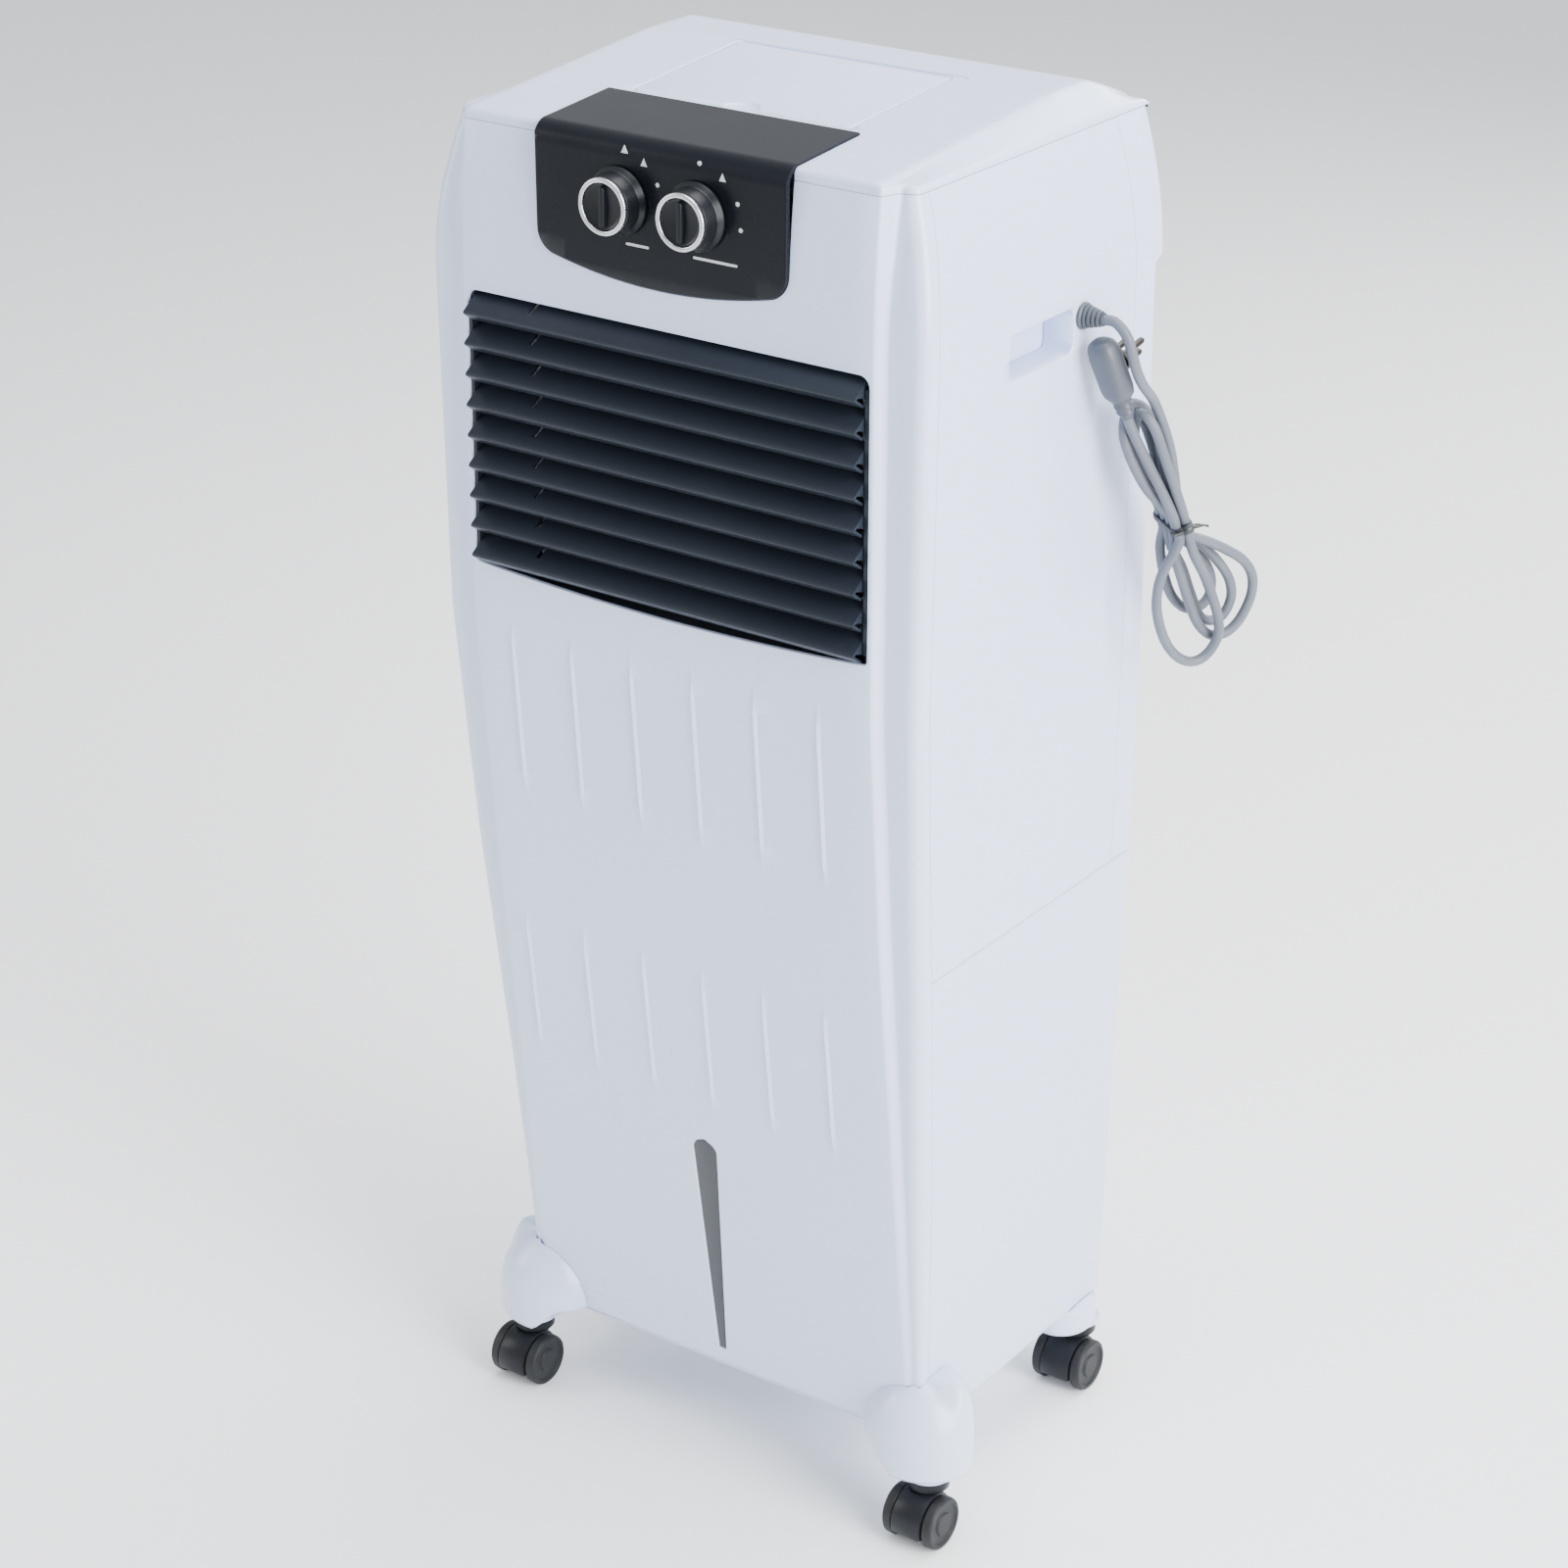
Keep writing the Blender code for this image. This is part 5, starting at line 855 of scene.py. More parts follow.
# ---- Top cover ------------------------------------------------------------------------------
# A crowned moulding that rises towards the back, with rounded shoulders that carry on the
# front's ridges, a lid opening framed by a fine groove, and a slot for the fascia.
COVER_HALF_W = 0.1680
cover_half = [0.0, 0.02, 0.04, 0.06, 0.08, 0.10, 0.12, 0.135, 0.143, 0.147, 0.1490, 0.1505, 0.1515]
cover_half += [0.1515 + 0.0075 * t for t in spaced(0.0, 1.0, 8)[1:]]
cover_half += [0.1605, 0.1620, 0.1635, 0.1648, 0.1659, 0.1668, 0.1674, 0.1678, 0.1680]
cover_columns = [(-x, 0) for x in reversed(cover_half[1:])] + [(x, 0) for x in cover_half]
cover_columns = [(-COVER_HALF_W, 1)] + cover_columns + [(COVER_HALF_W, 1)]
cover_rows = [("wall", 0.0)]
cover_rows += [("front", d) for d in (0.0, 0.0003, 0.0009, 0.0018, 0.0028, 0.0040, 0.0065)]
cover_rows += [("deep", y) for y in (-0.1050, -0.0900, -0.0700, -0.0500, -0.0300, -0.0100, 0.0100, 0.0300, 0.0440,
                                     0.0480, 0.0520, 0.0650, 0.0800, 0.0870, 0.0900, 0.0930, 0.1000, 0.1080, 0.1160,
                                     0.1240, 0.1300, 0.1335, 0.1352, 0.1362, 0.1368, 0.1370)] + [("wall", 1.0)]


def cover_front(x):
    ax, r = abs(x), 0.0075
    y = -0.1340 + 0.0127 * soft_step((ax - 0.1515) / 0.0075)
    over = max(0.0, ax - (COVER_HALF_W - r))
    return y + r - math.sqrt(max(0.0, r * r - over * over))


def edge_fall(distance, radius):
    short = max(0.0, radius - distance)
    return radius - math.sqrt(max(0.0, radius * radius - short * short))


def cover_point(column, row):
    x, outside = column
    kind, value = row
    front_edge = cover_front(x)
    y = {"wall": LIP_Y if value else front_edge, "front": front_edge + value, "deep": value}[kind]
    if outside or kind == "wall":
        return (x, y, EAVES_Z)
    ax = abs(x)
    top = crown_z(y) - 0.0170 * max(0.0, (y - 0.0900) / 0.0470) ** 1.15
    if ax < 0.1540:
        z = top - 0.0025 * max(0.0, (ax - 0.1470) / 0.0070) ** 2
    else:
        slope = max(0.0, top - 0.0025 - (EAVES_Z + 0.0035)) / 0.0140
        z = top - 0.0025 - slope * (ax - 0.1540)
    z -= edge_fall(COVER_HALF_W - ax, 0.0028) + edge_fall(y - front_edge, 0.0040) + edge_fall(LIP_Y - y, 0.0030)
    return (x, y, max(z, EAVES_Z + 0.0004))


cover = thicken(sheet(cover_columns, cover_rows, cover_point), WALL)
LID_HALF_W, LID_FRONT_Y, HINGE_Y = 0.0800, -0.0600, 0.0480
HINGE_Z = crown_z(HINGE_Y) - 0.0026


def lid_outline(margin, front_r, back_y=HINGE_Y + 0.0034):
    """Plan of the lid or its opening, from the rear right corner round to the rear left."""
    x, y0 = LID_HALF_W + margin, LID_FRONT_Y - margin
    return rounded([(x, back_y), (x, y0), (-x, y0), (-x, back_y)], front_r, 6, True)


def on_crown(outline, lift):
    return [(x, y, crown_z(y) + lift) for x, y in outline]


combine(cover, loft([on_crown(lid_outline(m, 0.0050), lift) for lift, m in
                     ((-0.03, 0.0008), (-0.0012, 0.0008), (-0.0005, 0.0010), (0.0, 0.0017), (0.01, 0.0017))]))
groove_outer = lid_outline(0.0125, 0.0090, back_y=HINGE_Y + 0.0060)
groove_inner = lid_outline(0.0110, 0.0080, back_y=HINGE_Y + 0.0045)
groove = blank(loft([on_crown(groove_outer, lift) for lift in (-0.0007, 0.01)]))
combine(groove, loft([on_crown(groove_inner, lift) for lift in (-0.01, 0.02)]))
groove_bm = bmesh.new()
groove_bm.from_mesh(groove.data)
bpy.data.objects.remove(groove, do_unlink=True)
combine(cover, groove_bm)
combine(cover, loft([[(x, y, z) for x, z in fascia_outline(GAP)] for y in (-0.17, -0.0680 + GAP)]))
fit(cover, "cover_shell", WHITE, "casing", "white_abs", "top_cover")

# ---- Filling lid ----------------------------------------------------------------------------
# A flat lid for ice and water, with a scooped finger notch in its front edge.
# It turns on a rolled hinge barrel moulded along its back.


def lid_ring(lift, margin):
    outline = rounded([(LID_HALF_W + margin, HINGE_Y - 0.0005), (LID_HALF_W + margin, LID_FRONT_Y - margin),
                       (-LID_HALF_W - margin, LID_FRONT_Y - margin), (-LID_HALF_W - margin, HINGE_Y - 0.0005)],
                      0.0042, 6, True)
    return on_crown(outline, lift)


lid = blank(loft([lid_ring(lift, margin) for lift, margin in
                  ((-0.0026, -0.0002), (-0.0010, 0.0), (-0.0005, -0.0001), (-0.0002, -0.0004), (0.0, -0.0010))]))
combine(lid, turned(((0.0, -LID_HALF_W), (0.0026, -LID_HALF_W), (0.0026, LID_HALF_W), (0.0, LID_HALF_W)),
                    (0.0, HINGE_Y, HINGE_Z), (1, 0, 0), 28), "UNION")
scoop = ((0.0, -0.0020), (0.0060, -0.0018), (0.0110, -0.0010), (0.0135, 0.0), (0.0150, 0.0020), (0.0, 0.0020))
combine(lid, turned(scoop, (0.0, LID_FRONT_Y - 0.0020, crown_z(LID_FRONT_Y)), (0, 0, 1), 48))
fit(lid, "lid_shell", WHITE, "fill_lid", "white_abs", "fill_lid")

# ---- Control fascia -------------------------------------------------------------------------
# A gloss black moulding bent over the front edge: upright face, soft bend, and a top face that
# runs back to the lid. Its dial marks are pad-printed in pale grey.
FASCIA_Y = -0.1415
GLOSS_BLACK = moulded("gloss_black", (0.0030, 0.0042, 0.0070), (0.0050, 0.0066, 0.0100), 0.26, 500.0, 0.00002,
                      Specular_IOR_Level=0.18, Coat_Weight=0.04, Coat_Roughness=0.08).material
fascia_line = [(-0.0680, crown_z(-0.0680) + 0.0015), (-0.0900, crown_z(-0.0900) + 0.0015)]
bend_z = crown_z(FASCIA_Y + 0.012) + 0.0015 - 0.012
fascia_line += [(FASCIA_Y + 0.012 - 0.012 * math.cos(math.radians(a)), bend_z + 0.012 * math.sin(math.radians(a)))
                for a in spaced(90.0, 0.0, 10)]
fascia_line += [(FASCIA_Y, z) for z in spaced(0.9250, 0.8440, 6)]
fascia = thicken(sheet(spaced(-0.1000, 0.1000, 20), fascia_line[::-1], lambda x, p: (x, p[0], p[1])), 0.0030)
outline_solid = loft([[(x, FASCIA_Y + back, z) for x, z in fascia_outline(margin)] for back, margin in
                      ((-0.01, -0.0014), (-0.0001, -0.0014), (0.0002, -0.0008), (0.0008, -0.0002), (0.0016, 0.0),
                       (0.0735, 0.0))])
combine(fascia, outline_solid, "INTERSECT")
KNOB_Z, KNOB_X = 0.8995, 0.0285
combine(fascia, joined(*[turned(((0.0, -0.02), (0.0034, -0.02), (0.0034, 0.02), (0.0, 0.02)), (x, -0.14, KNOB_Z),
                                (0, 1, 0), 24) for x in (-KNOB_X, KNOB_X)]))
fit(fascia, "fascia_shell", GLOSS_BLACK, "casing", "gloss_black", "control_fascia")

PRINT = moulded("dial_print", (0.42, 0.43, 0.45), (0.60, 0.61, 0.63), 0.45, 1200.0, 0.00002).material


def print_mark(outline):
    return bar(outline, "Y", FASCIA_Y - 0.00012, FASCIA_Y + 0.0004)


def disc_mark(x, z, radius):
    return print_mark([(x + radius * math.cos(math.tau * i / 20), z + radius * math.sin(math.tau * i / 20))
                       for i in range(20)])


def bar_mark(x, z, length, height):
    return print_mark(rounded([(x - length / 2, z - height / 2), (x + length / 2, z - height / 2),
                               (x + length / 2, z + height / 2), (x - length / 2, z + height / 2)],
                              height / 2, 3, True))


marks = []
for knob_x, triangles, discs, bar_l in ((-KNOB_X, (82, 54), (26,), 0.0170), (KNOB_X, (54,), (86, 22, -6), 0.0320)):
    for index, degrees in enumerate(triangles + discs):
        a = math.radians(degrees)
        x, z = knob_x + 0.0318 * math.cos(a), KNOB_Z + 0.0318 * math.sin(a)
        marks.append(disc_mark(x, z, 0.0014) if degrees in discs else
                     print_mark([(x - 0.0024, z - 0.0022), (x + 0.0024, z - 0.0022), (x, z + 0.0026)]))
    marks.append(bar_mark(knob_x + 0.0130, KNOB_Z - 0.0252, bar_l, 0.0016))
fit(joined(*marks), "dial_marks", PRINT, "casing", "silver_trim")

# ---- Control knobs --------------------------------------------------------------------------
# Turned-look moulded knobs: a flared skirt, a satin metal ring let into the face, and a dished
# black cap with a finger bar across it.
SILVER = Finish("silver_trim", Metallic=1.0)
turned_lines = SILVER.noise(900.0, 3.0)
SILVER.set("Base Color", SILVER.mix(SILVER.noise(40.0, 2.0), (0.52, 0.53, 0.55), (0.70, 0.71, 0.73)))
SILVER.set("Roughness", turned_lines * 0.18 + 0.20)
SILVER.bump(turned_lines, 0.00005, 0.6)
SATIN_BLACK = moulded("knob_black", (0.0050, 0.0060, 0.0085), (0.0085, 0.0098, 0.0125), 0.32, 1300.0, 0.00005,
                      Specular_IOR_Level=0.22).material
for name, knob_x in (("speed_knob", -KNOB_X), ("cooling_knob", KNOB_X)):
    centre = (knob_x, FASCIA_Y - 0.0006, KNOB_Z)
    skirt = rounded([(0.0, 0.0), (0.0212, 0.0), (0.0212, 0.0016), (0.0188, 0.0046), (0.0175, 0.0139), (0.0143, 0.0139),
                     (0.0143, 0.0160), (0.0125, 0.0152), (0.0, 0.0142)], 0.0007, 3)
    knob = blank(turned(skirt, centre, (0, -1, 0), 72))
    shaft = ((0.0, 0.0), (0.0030, 0.0), (0.0030, 0.0140), (0.0, 0.0140))
    combine(knob, turned(shaft, (knob_x, FASCIA_Y - 0.0010, KNOB_Z), (0, 1, 0), 24), "UNION")
    grip = rounded([(knob_x - 0.0021, KNOB_Z - 0.0122), (knob_x + 0.0021, KNOB_Z - 0.0122),
                    (knob_x + 0.0021, KNOB_Z + 0.0122), (knob_x - 0.0021, KNOB_Z + 0.0122)], 0.0019, 4, True)
    grip_rings = [[(knob_x + (x - knob_x) * s, centre[1] - out, z) for x, z in grip]
                  for out, s in ((0.0120, 1.0), (0.0168, 0.94), (0.0172, 0.80), (0.0173, 0.55))]
    combine(knob, loft(grip_rings), "UNION")
    fit(knob, name + "_cap", SATIN_BLACK, name, "gloss_black", name)
    ring_line = rounded([(0.01445, 0.0142), (0.0175, 0.0142), (0.0175, 0.0163), (0.0168, 0.0170), (0.0150, 0.0170),
                         (0.01445, 0.0164)], 0.0004, 2, True)
    fit(turned(ring_line, centre, (0, -1, 0), 96, ring=True), name + "_trim", SILVER.material, name, "silver_trim",
        name + "_ring")

# ---- Air outlet: louvres --------------------------------------------------------------------
# Nine moulded blades on pins in the frame's cheeks. Each has a rising back plate, a rounded
# nose and a lower lip. A link joins their cranks, so they all tilt together.
SLATE = moulded("slate_plastic", (0.0110, 0.0150, 0.0230), (0.0180, 0.0235, 0.0330), 0.40, 1100.0, 0.00008,
                Specular_IOR_Level=0.22).material
PIVOT_Y, PITCH = -0.1365, 0.1790 / 9
BLADE_HALF = 0.1495 - 0.0027 - 0.0008
CRANK_X = -0.1000
CHEEK = ((-0.0105, -0.0012), (-0.0015, -0.0040), (0.0022, -0.0018), (0.0022, 0.0022), (-0.0010, 0.0048),
         (-0.0040, 0.0036))
CRANK_ARM = ((-0.0100, -0.0016), (0.0, -0.0020), (0.0122, -0.0022), (0.0122, 0.0022), (0.0, 0.0038),
             (-0.0050, 0.0030))
blade_line = rounded([(0.0035, 0.0085), (-0.0075, 0.0020), (-0.0138, -0.0024), (-0.0045, -0.0088)], 0.0026, 5)
blade_x = spaced(-BLADE_HALF, BLADE_HALF, 12)


def block(low, high):
    corners = ((low[0], low[1]), (high[0], low[1]), (high[0], high[1]), (low[0], high[1]))
    return bar(corners, "Z", low[2], high[2])


for index in range(9):
    z = 0.8240 - PITCH * (index + 0.5)
    blade = thicken(sheet(blade_x, blade_line[::-1], lambda x, p: (x, PIVOT_Y + p[0], z + p[1])), 0.0016)
    for side in (-1, 1):
        x0, x1 = sorted((side * (BLADE_HALF - 0.0035), side * BLADE_HALF))
        cheek = rounded([(PIVOT_Y + y, z + dz) for y, dz in CHEEK], 0.0012, 3, True)
        combine(blade, bar(cheek, "X", x0, x1), "UNION")
        pin = ((0.0, BLADE_HALF - 0.003), (0.0015, BLADE_HALF - 0.003), (0.0015, 0.1491), (0.0, 0.1491))
        combine(blade, turned(pin, (0.0, PIVOT_Y, z), (side, 0, 0), 16), "UNION")
    arm = rounded([(PIVOT_Y + y, z + dz) for y, dz in CRANK_ARM], 0.0015, 3, True)
    combine(blade, bar(arm, "X", CRANK_X + 0.0030, CRANK_X + 0.0052), "UNION")
    combine(blade, turned(((0.0, 0.0), (0.0015, 0.0), (0.0015, 0.0062), (0.0, 0.0062)),
                          (CRANK_X + 0.0040, PIVOT_Y + 0.0100, z), (-1, 0, 0), 16), "UNION")
    combine(blade, block((CRANK_X - 0.0008, PIVOT_Y - 0.0050, z), (CRANK_X + 0.0026, PIVOT_Y + 0.0060, z + 0.0170)))
    name = "louvre_%d" % (index + 1)
    fit(blade, name + "_blade", SLATE, name, "slate_plastic", name)

# ---- Pad cassette ---------------------------------------------------------------------------
# A moulded grille frame that unclips from the back and slides out with its pad.
# The pad is a block of cross-fluted cellulose paper.


def leaning(outline, out):
    return [(x, rear_y(z) + out, z) for x, z in outline]


grille_edge = rounded([(-0.1322, 0.4703), (0.1322, 0.4703), (0.1322, 0.8147), (-0.1322, 0.8147)], 0.0035, 4, True)
grille_inner = [(x * 0.992, 0.6425 + (z - 0.6425) * 0.9968) for x, z in grille_edge]
grille = blank(loft([leaning(grille_edge, -0.0060), leaning(grille_edge, -0.0010), leaning(grille_inner, 0.0)]))
cell_w, cell_h = (0.2644 - 0.0240 + 0.0060) / 3, (0.3444 - 0.0240 + 0.0060) / 14
cells = []
for column in range(3):
    for row in range(14):
        x0, z0 = -0.1322 + 0.0120 + cell_w * column, 0.4703 + 0.0120 + cell_h * row
        x1, z1 = x0 + cell_w - 0.0060, z0 + cell_h - 0.0060
        cell = rounded([(x0, z0), (x1, z0), (x1, z1), (x0, z1)], 0.0030, 3, True)
        mid_x, mid_z = 0.5 * (x0 + x1), 0.5 * (z0 + z1)
        wide = [(x + math.copysign(0.0010, x - mid_x), z + math.copysign(0.0010, z - mid_z)) for x, z in cell]
        cells.append(loft([leaning(cell, -0.03), leaning(cell, -0.0016), leaning(wide, 0.0), leaning(wide, 0.03)]))
combine(grille, joined(*cells))
fit(grille, "grille_shell", WHITE, "pad_cassette", "white_abs", "pad_grille")

PAPER = Finish("pad_paper")
flute = PAPER.noise(260.0, 3.0, (1.0, 1.0, 0.3))
PAPER.set("Base Color", PAPER.mix(PAPER.noise(14.0, 5.0), (0.115, 0.070, 0.030), (0.230, 0.150, 0.072)))
PAPER.set("Roughness", flute * 0.2 + 0.75)
PAPER.bump(flute, 0.0004)


def pad_point(column, row):
    """Rear and front faces of the pad, fluted up and down in zigzag."""
    x, (z, face, edge) = column, row
    wave = abs(((x * 140.0 + (z * 40.0 if face else -z * 40.0)) % 2.0) - 1.0)
    out = -0.0065 - 0.0022 * wave if face else -0.0380 + 0.0022 * wave
    return (x, rear_y(z) + (out if not edge else (-0.0065 if face else -0.0380)), z)


pad_z = spaced(0.4724, 0.8126, 40)
pad_x = spaced(-0.1300, 0.1300, 150)
pad_rows = [(z, 1, 0) for z in pad_z] + [(z, 0, 0) for z in reversed(pad_z)] + [(pad_z[0], 1, 0)]
pad = sheet(pad_x, pad_rows, pad_point)
bmesh.ops.holes_fill(pad, edges=pad.edges, sides=0)
bmesh.ops.recalc_face_normals(pad, faces=pad.faces)
fit(pad, "fluted_pad", PAPER.material, "pad_cassette", "pad_paper", "cooling_pad", smooth=60.0)

# ---- Base and casters -----------------------------------------------------------------------
# The base moulding carries the tank on a plate and swells at each corner into a domed
# foot. Each foot holds a twin-wheel furniture caster on a swivel stem.
FOOT_LOW_Z, BOSS_R, TRAIL = 0.0475, 0.0170, 0.0090


def foot_rings(side, front):
    boss = (0.1690, -0.0850) if front else (0.1500, 0.1340)
    dome = (0.1570, -0.0790) if front else (0.1470, 0.1210)
    top = 0.1170 if front else BASE_Z + 0.004
    rx, ry = (0.0385, 0.0320) if front else (0.0225, 0.0250)
    angles = [math.tau * i / 56 for i in range(56)]
    mid = BASE_Z + (0.003 if front else -0.002)

    def ring(centre, ax, ay, height):
        return [(side * (centre[0] + ax * math.cos(a)), centre[1] + ay * math.sin(a),
                 height(centre[0] + ax * math.cos(a))) for a in angles]

    def under(x):
        level = min(FOOT_LOW_Z + 0.0035 + max(0.0, boss[0] - BOSS_R - x), BASE_Z - 0.004)
        return level if front else min(level, mid - 0.006)

    def rim(x):
        return under(x) + 0.005 if front else min(under(x) + 0.005, mid - 0.001)

    def dome_ring(turn):
        lift, shrink = math.sin(math.radians(turn)), math.cos(math.radians(turn))
        points = []
        for a in angles:
            upright = soft_step((math.sin(a) + 0.45) / 0.7) if front else 0.0
            spread = shrink ** (1.25 - 1.0 * upright)
            points.append((side * (dome[0] + rx * spread * math.cos(a)), dome[1] + ry * spread * math.sin(a),
                           mid + (top - mid) * lift))
        return points

    rings = [ring(boss, BOSS_R - 0.0008, BOSS_R - 0.0008, lambda x: FOOT_LOW_Z),
             ring(boss, BOSS_R, BOSS_R, lambda x: FOOT_LOW_Z + 0.0008),
             ring(boss, BOSS_R, BOSS_R, lambda x: FOOT_LOW_Z + 0.0030)]
    for share, swell in ((0.0, 0.90), (0.3, 0.955), (0.7, 0.99), (1.0, 1.0)):
        rings.append(ring(dome, swell * rx, swell * ry, lambda x: under(x) + (rim(x) - under(x)) * share))
    return rings + [dome_ring(turn) for turn in spaced(0.0, 86.0, 12)]


def casing_core(margin):
    """The lower casing as a solid, to trim what fits round it."""
    rings = []
    for z in spaced(BASE_Z - GAP, SEAM_Z, 3):
        w, back = half_width(z) + margin, rear_y(z) + margin
        y, band = front_y(z) - margin, front_y(z) + band_depth(z) - margin
        r = corner_radius(z)
        half = [(0.0, y), (RIDGE_X, y), (RIDGE_X + 0.0025 + margin, band), (w - 0.3 * r, band), (w, band + r),
                (w, back - 0.010), (w - 0.003, back - 0.003), (w - 0.010, back), (0.0, back)]
        rings.append([(x, py, z) for x, py in half] + [(-x, py, z) for x, py in reversed(half[1:-1])])
    return loft(rings)


plate = rounded([(-0.1480, -0.0740), (0.1480, -0.0740), (0.1480, 0.1360), (-0.1480, 0.1360)], 0.012, 6, True)
base = blank(bar(plate, "Z", BASE_Z - GAP - 0.0120, BASE_Z - GAP))
for side in (-1, 1):
    for is_front in (True, False):
        combine(base, loft(foot_rings(side, is_front)), "UNION")
combine(base, casing_core(GAP))
SPOTS = (("front_left", -0.1690, -0.0850), ("front_right", 0.1690, -0.0850), ("rear_left", -0.1500, 0.1340),
         ("rear_right", 0.1500, 0.1340))
combine(base, joined(*[turned(((0.0, -0.02), (0.0054, -0.02), (0.0054, 0.021), (0.0, 0.021)), (x, y, FOOT_LOW_Z),
                              (0, 0, 1), 24) for _, x, y in SPOTS]))
fit(base, "base_moulding", WHITE, "casing", "white_abs", "base_frame")

CASTER_BLACK = moulded("caster_black", (0.0055, 0.0060, 0.0080), (0.0105, 0.0115, 0.0140), 0.38, 1000.0, 0.00008,
                       Specular_IOR_Level=0.22).material
TREAD = moulded("caster_tread", (0.0075, 0.0078, 0.0085), (0.0160, 0.0162, 0.0172), 0.55, 700.0, 0.0001, drift=60.0,
                Specular_IOR_Level=0.3).material
for name, x, y in SPOTS:
    stem_z = FOOT_LOW_Z - 0.0006
    axle = (x, y - TRAIL, 0.0185)
    neck_line = rounded([(0.0, -0.0130), (0.0105, -0.0130), (0.0105, -0.0085), (0.0145, -0.0075), (0.0145, 0.0),
                         (0.0050, 0.0), (0.0050, 0.0190), (0.0040, 0.0200), (0.0, 0.0200)], 0.0008, 3)
    hood = blank(turned(neck_line, (x, y, stem_z), (0, 0, 1), 40))
    dome_line = [(0.0, -0.0115), (0.0180, -0.0115), (0.0192, -0.0110), (0.0198, -0.0098), (0.0198, 0.0098),
                 (0.0192, 0.0110), (0.0180, 0.0115), (0.0, 0.0115)]
    dome = blank(turned(dome_line, axle, (1, 0, 0), 64))
    combine(dome, block((x - 0.05, axle[1] - 0.05, -0.02), (x + 0.05, axle[1] + 0.05, 0.0117)))
    dome_bm = bmesh.new()
    dome_bm.from_mesh(dome.data)
    bpy.data.objects.remove(dome, do_unlink=True)
    combine(hood, dome_bm, "UNION")
    combine(hood, turned(((0.0, -0.03), (0.0034, -0.03), (0.0034, 0.03), (0.0, 0.03)), axle, (1, 0, 0), 24))
    fit(hood, "caster_body_" + name, CASTER_BLACK, "caster_" + name, "caster_black", "caster_hood_" + name)
    wheel_line = [(0.0030, 0.0), (0.0030, 0.0120), (0.0160, 0.0120), (0.0178, 0.0122), (0.0185, 0.0130),
                  (0.0185, 0.0172), (0.0181, 0.0186), (0.0170, 0.0195), (0.0150, 0.0195), (0.0146, 0.0188),
                  (0.0140, 0.0184), (0.0085, 0.0184), (0.0080, 0.0190), (0.0076, 0.0195), (0.0, 0.0195)]
    wheel_line = [(r, -a) for r, a in reversed(wheel_line)] + wheel_line[1:]
    fit(turned(wheel_line, axle, (1, 0, 0), 56), "wheel_pair_" + name, TREAD, "wheels_" + name, "caster_tread",
        "caster_wheels_" + name)

# ---- Level window, float and drain ----------------------------------------------------------
# A smoked window let into the front, with a red float sliding behind it; a push-in drain plug
# with a pull grip, low on the tank's back.
SMOKE = moulded("window_smoke", (0.013, 0.016, 0.022), (0.024, 0.029, 0.038), 0.20, 300.0, 0.00003, Coat_Weight=0.2,
                Coat_Roughness=0.08).material
glass = window_solid(((0.0026, 0.0), (0.0010, 0.0), (0.0007, -0.0003), (0.0006, -0.0009)))
fit(glass, "level_glass", SMOKE, "casing", "window_smoke", "level_window")
FLOAT_RED = moulded("float_red", (0.42, 0.018, 0.012), (0.56, 0.035, 0.022), 0.42).material
float_z = 0.0905
float_run = Vector((0.0, -0.0410, 0.3720)).normalized()
float_line = rounded([(0.0, -0.0060), (0.0045, -0.0060), (0.0058, -0.0040), (0.0058, 0.0040), (0.0045, 0.0060),
                      (0.0, 0.0060)], 0.0010, 3)
bob = turned(float_line, (0.0, front_y(float_z) + 0.0100, float_z), float_run, 32)
fit(bob, "float_bob", FLOAT_RED, "level_float", "float_red", "level_float")
drain_y = rear_y(0.0975)
drain_line = rounded([(0.0, -0.0100), (0.0080, -0.0100), (0.0100, -0.0080), (0.0100, 0.0007), (0.0132, 0.0007),
                      (0.0132, 0.0031), (0.0075, 0.0039), (0.0064, 0.0060), (0.0075, 0.1595 - drain_y - 0.0015),
                      (0.0066, 0.1595 - drain_y), (0.0, 0.1595 - drain_y)], 0.0006, 3)
bung = turned(drain_line, (0.1000, drain_y, 0.0975), (0, 1, 0), 40)
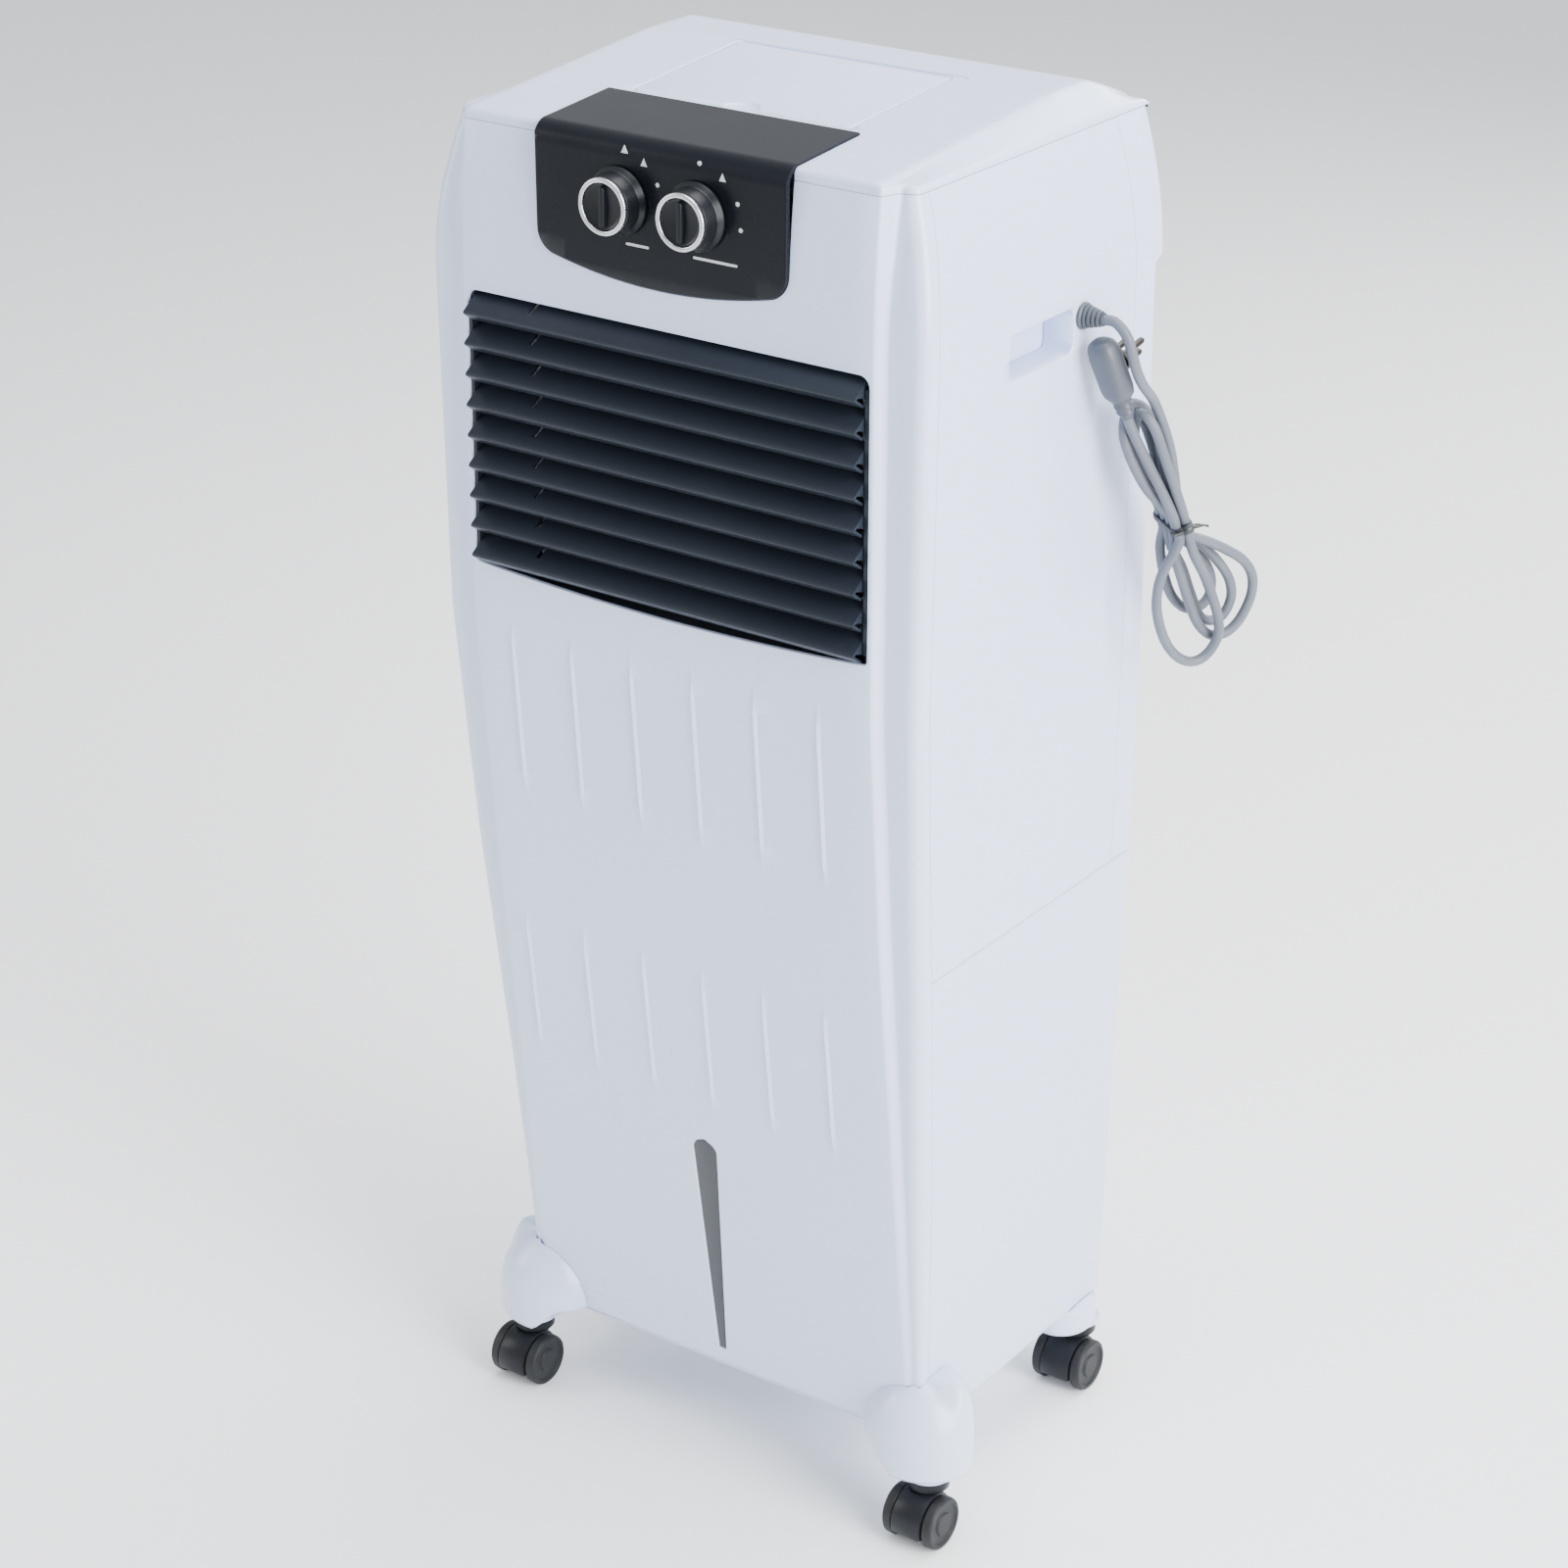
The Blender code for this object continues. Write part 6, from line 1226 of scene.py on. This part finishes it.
fit(bung, "drain_bung", SLATE, "drain_plug", "slate_plastic", "drain_plug")

# ---- Working parts inside -------------------------------------------------------------------
# Moulded and pressed pieces seen only through the louvres, the grille or the open lid.
# They keep their shape and take procedural finishes.
MOTOR_STEEL = Finish("motor_steel", Metallic=0.85)
MOTOR_STEEL.set("Base Color", MOTOR_STEEL.mix(MOTOR_STEEL.noise(24.0, 4.0), (0.26, 0.27, 0.28), (0.42, 0.43, 0.44)))
MOTOR_STEEL.set("Roughness", MOTOR_STEEL.noise(120.0, 3.0) * 0.3 + 0.28)
MOTOR_STEEL.bump(MOTOR_STEEL.noise(420.0, 3.0), 0.00006)
INNER_WHITE = moulded("inner_abs", (0.58, 0.60, 0.64), (0.68, 0.70, 0.73), 0.50).material
BLOWER_GREY = moulded("blower_plastic", (0.20, 0.22, 0.24), (0.30, 0.32, 0.34), 0.5).material
HOSE_GREY = moulded("hose_grey", (0.22, 0.24, 0.26), (0.32, 0.34, 0.36), 0.45, 500.0, 0.0001).material
INSIDE = {INNER_WHITE: ("ice_tray", "air_duct", "blower_housing", "water_distributor"),
          SLATE: ("outlet_frame", "louvre_link", "vane_1", "vane_2", "vane_3", "vane_4", "vane_5", "vane_link",
                  "pump"),
          BLOWER_GREY: ("blower_wheel", "rotary_switches"), MOTOR_STEEL.material: ("fan_motor", "swing_motor"),
          HOSE_GREY: ("pump_hose",)}
for material, names in INSIDE.items():
    for name in names:
        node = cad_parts[name]
        node.data.materials.clear()
        node.data.materials.append(material)

# ---- Floor ----------------------------------------------------------------------------------
# A pale seamless floor under the casters. It is the room, not a part of the machine.
floor_bm = bmesh.new()
bmesh.ops.create_grid(floor_bm, x_segments=1, y_segments=1, size=9.0)
floor = blank(floor_bm)
floor.name = "floor"
PALE = Finish("pale_floor", Roughness=0.75)
PALE.set("Base Color", PALE.mix(PALE.noise(0.6, 2.0), (0.955, 0.960, 0.965), (0.985, 0.988, 0.990)))
floor.data.materials.append(PALE.material)
floor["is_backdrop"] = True

low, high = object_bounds()
